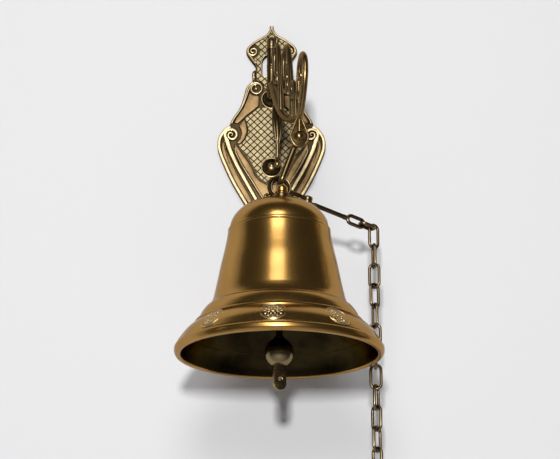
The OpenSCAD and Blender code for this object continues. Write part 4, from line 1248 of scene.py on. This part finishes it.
@dataclass(frozen=True)
class BellShell:
    """The turned bell with its mouldings and medallions."""

    mouth_r: float = 75.0
    height: float = 116.0
    shoulder_r: float = 37.5
    shoulder_z: float = 92.5
    shoulder_step: float = 1.4
    shoulder_bead: float = 1.2
    land: float = 13.5
    wall: float = 3.4
    lip_wall: float = 4.6
    medallions: int = 9
    medallion_r: float = 9.25
    medallion_at: Point = (67.78, 14.96)
    medallion_lean: float = 50.4
    medallion_turn: float = -93.5
    ceiling_r: float = 36.0
    rim_h: float = 1.0

    def outer(self) -> list[Point]:
        """The outer profile from the crown to the lip."""
        land, crown_r = self.land, self.shoulder_r - self.shoulder_step
        crown_z = self.shoulder_z + self.shoulder_bead
        rise = self.height - crown_z
        full = rise / math.sqrt(1 - (land / crown_r) ** 2)
        run: list[Point] = [(0, self.height), (land, self.height)]
        first = math.acos(land / crown_r)
        for i in range(1, 25):
            r = crown_r * math.cos(first * (1 - i / 24))
            dome = full * math.sqrt(max(0, 1 - (r / crown_r) ** 2))
            run.append((r, crown_z + dome))
        run += [(crown_r + 0.15, self.shoulder_z + 0.95), (crown_r + 0.6, self.shoulder_z + 1.0),
                (crown_r + 1.1, self.shoulder_z + 0.85), (crown_r + 1.3, self.shoulder_z + 0.4),
                (crown_r + 1.25, self.shoulder_z - 0.1), (crown_r + 1.05, self.shoulder_z - 0.4)]
        run += spline([(37.35, 91.6)] + WAIST_LINE, 5)
        run += spline([(47.6, 41.2), (48.4, 38.9), (50.0, 35.6)], 4)
        run += spline([(50.4, 35.05), (51.2, 34.7), (53.4, 33.1), (55.8, 29.8), (57.4, 26.5),
                       (58.05, 24.8)], 5)
        run += [(58.15, 24.4), (58.35, 24.1), (58.7, 24.05)]
        run += spline([(59.4, 24.0), (60.4, 23.4), (60.95, 22.4), (60.9, 21.7)], 4)
        run += [(60.8, 21.4), (61, 21.2)]
        run += spline([(61.3, 20.95), (65.8, 17.4), (69.7, 12.8), (72.75, 7.1)], 7)
        run += [(72.85, 6.6), (73.2, 6.4)]
        run += spline([(73.8, 6.15), (74.7, 5.2), (75, 4), (74.9, 2.4), (74.4, 1.1), (73.8, 0.3),
                       (73.1, 0)], 3)
        return run

    def inner(self) -> list[Point]:
        """The inner profile from the lip to the middle of the crown."""
        lip = self.mouth_r - self.lip_wall
        run = spline([(lip + 0.6, 0), (lip + 0.1, 0.2), (lip - 0.2, 0.8), (lip - 0.8, 2.4), (67.8, 7.4),
                      (65, 12.1), (62.6, 14.8)], 4)
        run += [(62.1, 15.2), (61.5, 15.3), (61.1, 15.3)]
        run += spline([(60.7, 15.7), (56.6, 20.6), (51.8, 27.6), (46.4, 35.6), (43.8, 42.5)], 4)
        waist = spline(WAIST_LINE[::-1] + [(37.5, 91.9)], 4)
        run += [(r - self.wall, z) for r, z in waist[1:]]
        crown_r = self.shoulder_r - self.shoulder_step - self.wall
        top = self.height - self.wall
        first = math.acos(self.land / crown_r)
        for i in range(1, 17):
            a = first * i / 16
            z = self.shoulder_z + (top - self.shoulder_z) * math.sin(a) / math.sin(first)
            run.append((crown_r * math.cos(a), z))
        run.append((0, top))
        return run

    def make_shell(self) -> Piece:
        """The bell's shell, as one closed skin."""
        return place(turned("shell", self.outer() + self.inner(), 160), PLACE.bell())

    def rosette(self) -> Piece:
        """One medallion with a rim, a ring of petals and a button, standing on the XY plane."""
        r = self.medallion_r
        sag = 0.9

        def high(at: float, rise: float) -> float:
            """A height on the domed disc."""
            return rise - sag * (at / r) ** 2

        profile = [(r, -2.0), (r, high(r, 0.35)), (r - 0.25, high(r, 0.6)), (r - 0.6, high(r, 0.6)),
                   (r - 0.85, high(r, 0.3)), (r - 1.1, high(r, 0.15)), (r - 1.5, high(r - 1.5, 0.35)),
                   (r - 1.9, high(r - 1.9, 0.15))]
        profile += [(at, high(at, 0.1)) for at in (6, 4.5, 3, 1.5, 0)]
        pieces = [turned("disc", profile, 44)]
        for at, count, size, shift in ((5.7, 12, (1.3, 0.62, 0.42), 0), (3.1, 8, (1.15, 0.6, 0.45), 0.5),
                                       (4.55, 12, (0.4, 0.4, 0.35), 0.5)):
            petal = ball("petal", size, (at, 0, high(at, 0.12)), 8)
            for k in range(count):
                pieces.append(copied(petal, Matrix.Rotation(TURN * (k + shift) / count, 4, "Z")))
            bpy.data.objects.remove(petal)
        pieces.append(ball("button", (1.5, 1.5, 0.55), (0, 0, 0.1), 12))
        return joined(pieces, "rosette")

    def make_medallions(self) -> Piece:
        """The ring of medallions on the flare."""
        model = self.rosette()
        r, z = self.medallion_at
        pieces = []
        for k in range(self.medallions):
            turn = math.radians(self.medallion_turn - PLACE.swing) + TURN * k / self.medallions
            spot = (PLACE.bell() @ Matrix.Rotation(turn, 4, "Z") @ shift_by(r, z=z)
                    @ turn_by(self.medallion_lean, "Y"))
            pieces.append(copied(model, spot))
        bpy.data.objects.remove(model)
        return joined(pieces, "medallions")

    def build(self, shop: Workshop) -> None:
        """Makes and dresses the bell."""
        shell = shop.dress(self.make_shell(), "bell_body", "bell", BELL_BRASS, Slot.CAST, "bell_shell")
        # The faces inside the bell above the rim get the darker inner brass: painted shade for the dark
        # mouth, as well as the duller casting inside
        shell.data.materials.append(shop.paint(INNER_BRASS_WITH_PAINTED_SHADE))
        axis = PLACE.bell().translation
        for face in shell.data.polygons:
            out = Vector((face.center.x - axis.x, face.center.y - axis.y, 0))
            flat_ceiling = face.normal.z < -0.6 and out.length < self.ceiling_r * MM
            above_rim = face.center.z > (PLACE.mouth_z + self.rim_h) * MM
            if above_rim and (face.normal.dot(out) < 0 or flat_ceiling):
                face.material_index = 1
        shop.dress(self.make_medallions(), "bell_medallions", "bell", MEDALLION_BRASS, Slot.CAST)


@dataclass(frozen=True)
class Yoke:
    """The hanging ring with its foot, curl and lever arm, the cap nuts, the studs and the clevis."""

    ring_r: float = 7.1
    ring_t: float = 2.0
    foot_w: float = 11.0
    foot_l: float = 26.0
    foot_t: float = 3.0
    stud_offset: float = 8.0
    nut_r: float = 4.5
    nut_h: float = 7.2
    nut_dome_h: float = 3.4
    ceiling: float = 112.6
    clevis_t: float = 2.0
    clevis_gap: float = 0.05
    pin_z: float = 103.0

    def ring_profile(self) -> list[Point]:
        """The ring's section: a double rim with a groove on each face."""
        run = []
        for k in range(28):
            a = TURN * k / 28
            dip = 0.34 * math.exp(-(math.cos(a) / 0.26) ** 2)
            run.append((self.ring_r + self.ring_t * math.cos(a), self.ring_t * math.sin(a) * (1 - dip)))
        return run

    def make_casting(self) -> Piece:
        """The ring, the foot, the curl and the arm for the lever."""
        up = PLACE.ring_z - PLACE.mouth_z
        ring = turned("ring", self.ring_profile(), 56, closed=True)
        place(ring, PLACE.bell(up) @ turn_by(90, "X"))
        half = (self.foot_l - self.foot_w) / 2
        loop = [(x, y + half) for x, y in circle(0, 0, self.foot_w / 2, 40) if y >= -0.001]
        loop += [(x, y - half) for x, y in circle(0, 0, self.foot_w / 2, 40) if y <= 0.001]
        foot = place(flat_pad("foot", [loop], self.foot_t, 0.6), PLACE.bell(PLACE.bell_h))
        saddle = ball("saddle", (5.2, 2.6, 2.4), (0, 0, self.foot_t), 20)
        place(saddle, PLACE.bell(PLACE.bell_h))
        curl_path = [(-4, 0, 1.6)] + [(x, 0, z) for x, z in spiral((-8.8, 3.0), 2.1, 0.7, -70, -420, 30)]
        curl = swept("curl", curl_path, tapered(len(curl_path), 1.6, 0.75), 12)
        place(curl, PLACE.bell(PLACE.bell_h))
        end = -(PLACE.lever_root - self.ring_r) / math.cos(math.radians(PLACE.lever_slope))
        run = [(end, 0, 0), (end * 0.75, 0, 0), (end * 0.45, 0, 0), (-4, 0, 0), (-2.4, 0, 0)]
        arm = place(swept("arm", run, [2.2, 1.8, 1.6, 1.5, 1.3], 14), PLACE.lever(1.3))
        eye = turned("eye", ring_profile(1.3, 3.6, 2.6, 0.45), 32, closed=True)
        place(eye, PLACE.lever(1.3))
        return joined([ring, foot, saddle, curl, arm, eye], "yoke")

    def make_nuts(self) -> Piece:
        """The two cap nuts."""
        r, h, dome_h = self.nut_r, self.nut_h, self.nut_dome_h
        profile = [(0, 0), (r - 0.75, 0), (r - 0.75, 0.9), (r - 0.4, 1.1), (r - 0.1, 1.5),
                   (r - 0.05, h - dome_h)]
        for k in range(1, 12):
            a = TURN / 4 * k / 12
            profile.append(((r - 0.05) * math.cos(a), h - dome_h + dome_h * math.sin(a)))
        profile.append((0, h))
        foot = PLACE.bell(PLACE.bell_h + self.foot_t)
        nuts = [place(turned("nut", profile, 40), foot @ shift_by(y=side * self.stud_offset))
                for side in (-1, 1)]
        return joined(nuts, "nuts")

    def make_clevis(self) -> Piece:
        """The fork that carries the clapper's pin."""
        plate_z = self.ceiling - self.clevis_gap - self.clevis_t
        loop = [(-4, -10.6), (-2.8, -11.2), (2.8, -11.2), (4, -10.6), (4, 10.6), (2.8, 11.2),
                (-2.8, 11.2), (-4, 10.6)]
        pieces = [place(flat_pad("bar", [loop], self.clevis_t, 0.3), PLACE.bell(plate_z))]
        for side in (-1, 1):
            cheek = [(x, y + self.pin_z) for x, y in circle(0, 0, 4, 32) if y <= 0.001]
            cheek += [(4, plate_z + 0.4), (-4, plate_z + 0.4)]
            pad = flat_pad("cheek", [cheek], 2.2, 0.3)
            place(pad, shift_by(z=-1.1))
            place(pad, PLACE.bell() @ shift_by(y=side * 3.5) @ turn_by(90, "X"))
            pieces.append(pad)
        return joined(pieces, "clevis")

    def make_studs(self) -> Piece:
        """The heads of the two studs under the clevis."""
        bottom = self.ceiling - self.clevis_gap - self.clevis_t
        profile = [(0, -2), (2.4, -2), (3, -1.4), (3, 0), (2, 0.02), (2, 9), (0, 9)]
        studs = [place(turned("stud", profile, 24), PLACE.bell(bottom)
                       @ shift_by(y=side * self.stud_offset)) for side in (-1, 1)]
        return joined(studs, "studs")

    def make_pin(self) -> Piece:
        """The clapper's pin with a riveted head at each end."""
        profile = [(0, -5.6), (1.2, -5.4), (2, -5), (2.3, -4.6), (1.5, -4.6), (1.5, 4.6), (2.3, 4.6),
                   (2, 5), (1.2, 5.4), (0, 5.6)]
        return place(turned("pin", profile, 24), PLACE.bell(self.pin_z) @ turn_by(90, "X"))

    def build(self, shop: Workshop) -> None:
        """Makes and dresses the yoke and its fastenings."""
        shop.dress(self.make_casting(), "yoke_casting", "bell", BRACKET_BRASS, Slot.CAST, "yoke")
        shop.dress(self.make_nuts(), "yoke_cap_nuts", "bell", BELL_BRASS, Slot.POLISHED, "cap_nuts")
        shop.dress(self.make_studs(), "yoke_stud_heads", "bell", BRACKET_BRASS, Slot.PIN, "yoke_studs")
        shop.dress(self.make_clevis(), "clapper_fork", "bell", BRACKET_BRASS, Slot.AGED, "clapper_clevis")
        shop.dress(self.make_pin(), "clapper_fork_pin", "bell", BRACKET_BRASS, Slot.PIN, "clapper_pin")


@dataclass(frozen=True)
class Lever:
    """The lever rod with its rivet and the two loops at its end."""

    lap: float = 2.6
    neck_r: float = 1.25
    rod_r: float = 1.95
    rod_l: float = 34.43
    inner_l: float = 17.0
    outer_l: float = 14.5
    outer_at: float = 45.93
    loop_w: float = 9.0
    wire: float = 2.8

    def build(self, shop: Workshop) -> None:
        """Makes and dresses the lever."""
        eye = turned("eye", ring_profile(1.3, 3.6, self.lap, 0.45), 32, closed=True)
        path = [(2.4, 0, 0), (4, 0, 0), (5.4, 0, 0), (6.2, 0, 0), (7, 0, 0), (8, 0, 0)]
        radii = [self.neck_r] * 3 + [self.neck_r + 0.4, self.rod_r - 0.05, self.rod_r - 0.25]
        for share in (0.2, 0.4, 0.6, 0.8):
            path.append((8 + (self.rod_l - 11) * share, 0, 0))
            radii.append(self.rod_r - 0.25)
        for past, r in ((-2.6, 1.7), (-1.8, 1.95), (-0.6, 1.95), (0.4, 1.7), (1.1, 1.2), (1.6, 0.5)):
            path.append((self.rod_l + past, 0, 0))
            radii.append(r)
        rod = swept("rod", path, radii, 16)
        low = PLACE.lever(-self.lap / 2)
        bar = place(joined([eye, rod], "rod"), low)
        shop.dress(bar, "lever_bar", "bell", BRACKET_BRASS, Slot.CAST, "lever_rod")
        head = [(0, -3.9), (1.2, -3.7), (2, -3.2), (2.3, -2.6), (1.3, -2.6), (1.3, 2.6), (2.3, 2.6),
                (2, 3.2), (1.2, 3.7), (0, 3.9)]
        rivet = place(turned("rivet", head, 28), PLACE.lever())
        shop.dress(rivet, "lever_joint_rivet", "bell", BRIGHT_BRASS, Slot.POLISHED, "lever_rivet")
        for name, node, length, at, turn in (
                ("lever_upright_loop", "lever_inner_loop", self.inner_l, self.rod_l, 90),
                ("lever_flat_loop", "lever_outer_loop", self.outer_l, self.outer_at, 0)):
            path = stadium(length, self.loop_w, self.wire)
            loop = swept("loop", path, self.wire / 2, 12, closed=True)
            place(loop, low @ shift_by(at) @ turn_by(turn, "X"))
            shop.dress(loop, name, "bell", CHAIN_BRASS, Slot.CAST, node)


@dataclass(frozen=True)
class Clapper:
    """The swinging clapper: shank, ball and tongue."""

    pivot: float = 103.0
    ball_z: float = 2.5
    ball_r: float = 10.5
    shank_r: float = 2.5
    tongue_w: float = 9.8
    tongue_t: float = 3.2
    tongue_l: float = 17.2
    tongue_turn: float = 10.0
    hole_r: float = 1.6

    def build(self, shop: Workshop) -> None:
        """Makes and dresses the clapper."""
        top = self.pivot - self.ball_z
        eye = turned("eye", ring_profile(1.55, 4.0, 4.2, 0.6), 32, closed=True)
        place(eye, shift_by(z=top) @ turn_by(90, "X"))
        r = self.shank_r
        profile = [(0, 6), (r, 6), (r, 12), (r - 0.15, 30), (r - 0.15, 70), (r, 88), (r - 0.3, top - 7),
                   (2.0, top - 4), (2.0, top - 2.4), (0, top - 2.4)]
        collar = [(0, 9.4), (3.2, 9.4), (4.0, 10), (4.0, 10.8), (3.2, 11.5), (2.7, 12.2), (0, 12.2)]
        shank = joined([eye, turned("shank", profile, 24), turned("collar", collar, 32)], "shank")
        place(shank, PLACE.bell(self.ball_z))
        shop.dress(shank, "clapper_rod", "clapper", BRACKET_BRASS, Slot.AGED, "clapper_shank")
        globe = place(ball("globe", (self.ball_r,) * 3, (0, 0, 0), 40), PLACE.bell(self.ball_z))
        shop.dress(globe, "clapper_globe", "clapper", CLAPPER_BRASS, Slot.CAST, "clapper_ball")
        w = self.tongue_w / 2
        low = -self.ball_r - self.tongue_l + w
        loop = [(w * 0.96, -7.5), (w * 0.96, -10.4), (w, -13), (w, low)]
        angles = [-math.pi * k / 16 for k in range(1, 17)]
        loop += [(w * math.cos(a), low + w * math.sin(a)) for a in angles]
        loop += [(-w, -13), (-w * 0.96, -10.4), (-w * 0.96, -7.5)]
        hole_z = -self.ball_r - self.tongue_l * 0.53
        blade = flat_pad("blade", [loop, circle(0, hole_z, self.hole_r, 24)], self.tongue_t, 0.4)
        place(blade, shift_by(z=-self.tongue_t / 2))
        burr = [(self.hole_r, 1.1), (self.hole_r + 0.9, 1.1), (self.hole_r + 0.9, 1.55),
                (self.hole_r + 0.5, 1.6), (self.hole_r, 1.35)]
        eyelet = place(turned("burr", burr, 28, closed=True), shift_by(y=hole_z))
        tongue = joined([blade, eyelet], "tongue")
        place(tongue, PLACE.bell(self.ball_z) @ turn_by(self.tongue_turn, "Z") @ turn_by(90, "X"))
        shop.dress(tongue, "clapper_blade", "clapper", CLAPPER_BRASS, Slot.AGED, "clapper_tongue")


@dataclass(frozen=True)
class Chain:
    """The pull chain and its ring."""

    length: float = 20.3
    width: float = 9.8
    wire: float = 2.3
    twists: tuple[int, ...] = (0, 70, 60, 60, 70, 75, 85, 90, 65, 75, 90, 90, 65, 65)
    ring_d: float = 30.0
    ring_wire: float = 2.6
    ring_top: float = -312.506

    def build(self, shop: Workshop) -> None:
        """Makes and dresses the links and the pull ring."""
        model = swept("link", stadium(self.length, self.width, self.wire), self.wire / 2, 12, closed=True)
        hang = turn_by(90, "Z") @ turn_by(90, "Y")
        turn = 0
        for i, twist in enumerate(self.twists):
            turn += twist
            spot = PLACE.chain(i * PLACE.link_pitch) @ turn_by(turn, "Z") @ hang
            number = f"{i + 1:02d}"
            body, node = f"link_{number}", f"chain_link_{number}"
            shop.dress(copied(model, spot), f"chain_wire_{number}", body, CHAIN_BRASS, Slot.CHAIN, node)
        bpy.data.objects.remove(model)
        r = (self.ring_d - self.ring_wire) / 2
        section = [(r + self.ring_wire / 2 * math.cos(a), self.ring_wire / 2 * math.sin(a))
                   for a in (TURN * k / 16 for k in range(16))]
        ring = turned("ring", section, 72, closed=True)
        drop = PLACE.first_link_z - self.ring_top + self.ring_d / 2
        place(ring, PLACE.chain(drop) @ turn_by(turn + 90, "Z") @ turn_by(90, "X"))
        shop.dress(ring, "chain_pull_ring", "pull_ring", CHAIN_BRASS, Slot.CAST, "pull_ring")


# Studio


@dataclass(frozen=True)
class Lamp:
    """One rectangular lamp that points at the bell."""

    name: str
    where: tuple[float, float, float]
    target: tuple[float, float, float]
    size: tuple[float, float]
    power: float
    color: tuple[float, float, float] = (1.0, 1.0, 1.0)

    def build(self) -> None:
        """Hangs the lamp."""
        light = bpy.data.lights.new(self.name, "AREA")
        light.shape = "RECTANGLE"
        light.size = self.size[0]
        light.size_y = self.size[1]
        light.energy = self.power
        light.color = self.color
        lamp = bpy.data.objects.new(self.name, light)
        lamp.location = self.where
        aim = Vector(self.target) - Vector(self.where)
        lamp.rotation_euler = aim.to_track_quat("-Z", "Y").to_euler()
        bpy.context.scene.collection.objects.link(lamp)


OBJECT_MIDDLE = (0.0, 0.0, -0.1)
BELL_MIDDLE = (0.0, -0.1, -0.1)
WARM_LIGHT = (1.0, 0.8, 0.6)


@dataclass(frozen=True)
class Studio:
    """The pale wall and floor, the soft light and the camera."""

    wall_color: tuple[float, float, float] = (0.69, 0.69, 0.7)
    world: float = 0.06
    camera_at: tuple[float, float, float] = (0.00675, -1.349, -0.5188)
    camera_pitch: float = 107.9
    lens: float = 116.1
    sensor: float = 36.0
    wall_size: Point = (3.4, 4.0)
    floor_size: Point = (6.0, 4.0)
    return_size: Point = (0.24, 4.0)
    left: float = -1.3
    floor_z: float = -1.3
    lamps: tuple[Lamp, ...] = (
        Lamp("softbox", (-0.08, -1.5, 0.55), OBJECT_MIDDLE, (0.62, 0.8), 9.5),
        Lamp("front_lamp", (-0.06, -2.2, -0.13), OBJECT_MIDDLE, (0.16, 0.16), 35.0),
        Lamp("glow_panel", (0.0, -2.6, 0.3), OBJECT_MIDDLE, (3.0, 2.0), 2.0),
        Lamp("left_strip", (-1.8, -0.95, 0.2), BELL_MIDDLE, (0.06, 0.9), 0.45, WARM_LIGHT),
        Lamp("right_strip", (1.4, 0.1, 0.2), BELL_MIDDLE, (0.06, 0.9), 0.3, WARM_LIGHT),
    )

    def make_paper(self) -> bpy.types.Material:
        """The pale paper of the wall and the floor, seen from its front alone."""
        paper = bpy.data.materials.new("studio_paper")
        paper.use_nodes = True
        n = Nodes(paper.node_tree)
        surface = paper.node_tree.nodes["Principled BSDF"]
        surface.inputs["Base Color"].default_value = (*self.wall_color, 1)
        surface.inputs["Roughness"].default_value = 0.9
        surface.inputs["Specular IOR Level"].default_value = 0.1
        back = n.add("ShaderNodeNewGeometry").outputs["Backfacing"]
        clear = n.add("ShaderNodeBsdfTransparent")
        mix = n.add("ShaderNodeMixShader")
        n.feed(mix.inputs[0], back)
        n.feed(mix.inputs[1], surface.outputs[0])
        n.feed(mix.inputs[2], clear.outputs[0])
        n.feed(paper.node_tree.nodes["Material Output"].inputs["Surface"], mix.outputs[0])
        return paper

    def make_sheet(self, name: str, size: Point, matrix: Matrix, paper: bpy.types.Material) -> None:
        """A flat sheet of the studio, of a width and a height."""
        bpy.ops.mesh.primitive_plane_add(size=1)
        sheet = named(bpy.context.object, name)
        with editing(sheet):
            bpy.ops.transform.resize(value=(size[0], size[1], 1))
        place(sheet, matrix)
        sheet.data.materials.append(paper)

    def build(self) -> None:
        """Sets up the studio."""
        deselect()
        paper = self.make_paper()
        upright = turn_by(90, "X")
        behind = Matrix.Translation((self.left, -0.0001, 0)) @ upright
        below = Matrix.Translation((0, -self.floor_size[1] / 2, self.floor_z))
        corner = Matrix.Translation((self.left, -self.return_size[0] / 2, 0))
        beside = corner @ turn_by(90, "Z") @ upright
        self.make_sheet("studio_wall", self.wall_size, behind, paper)
        self.make_sheet("studio_floor", self.floor_size, below, paper)
        self.make_sheet("studio_return", self.return_size, beside, paper)
        world = bpy.data.worlds.new("studio_world")
        world.use_nodes = True
        backdrop = world.node_tree.nodes["Background"]
        backdrop.inputs["Color"].default_value = (self.world, self.world, self.world, 1)
        bpy.context.scene.world = world
        for lamp in self.lamps:
            lamp.build()
        camera = bpy.data.cameras.new("photo_camera")
        camera.lens = self.lens
        camera.sensor_width = self.sensor
        holder = bpy.data.objects.new("photo_camera", camera)
        holder.location = self.camera_at
        holder.rotation_euler = (math.radians(self.camera_pitch), 0, 0)
        bpy.context.scene.collection.objects.link(holder)
        bpy.context.scene.camera = holder
        bpy.context.scene.view_settings.view_transform = "Standard"


def main() -> None:
    """Builds every sub-assembly in order, then the studio."""
    logging.basicConfig(level=logging.INFO, format="%(message)s")
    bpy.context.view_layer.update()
    shop = Workshop()
    plate = WallPlate()
    plate.build(shop)
    Hinge().build(shop, plate)
    Bracket().build(shop)
    HangingHook().build(shop)
    BellShell().build(shop)
    Yoke().build(shop)
    Lever().build(shop)
    Clapper().build(shop)
    Chain().build(shop)
    Studio().build()


if __name__ == "__main__":
    main()
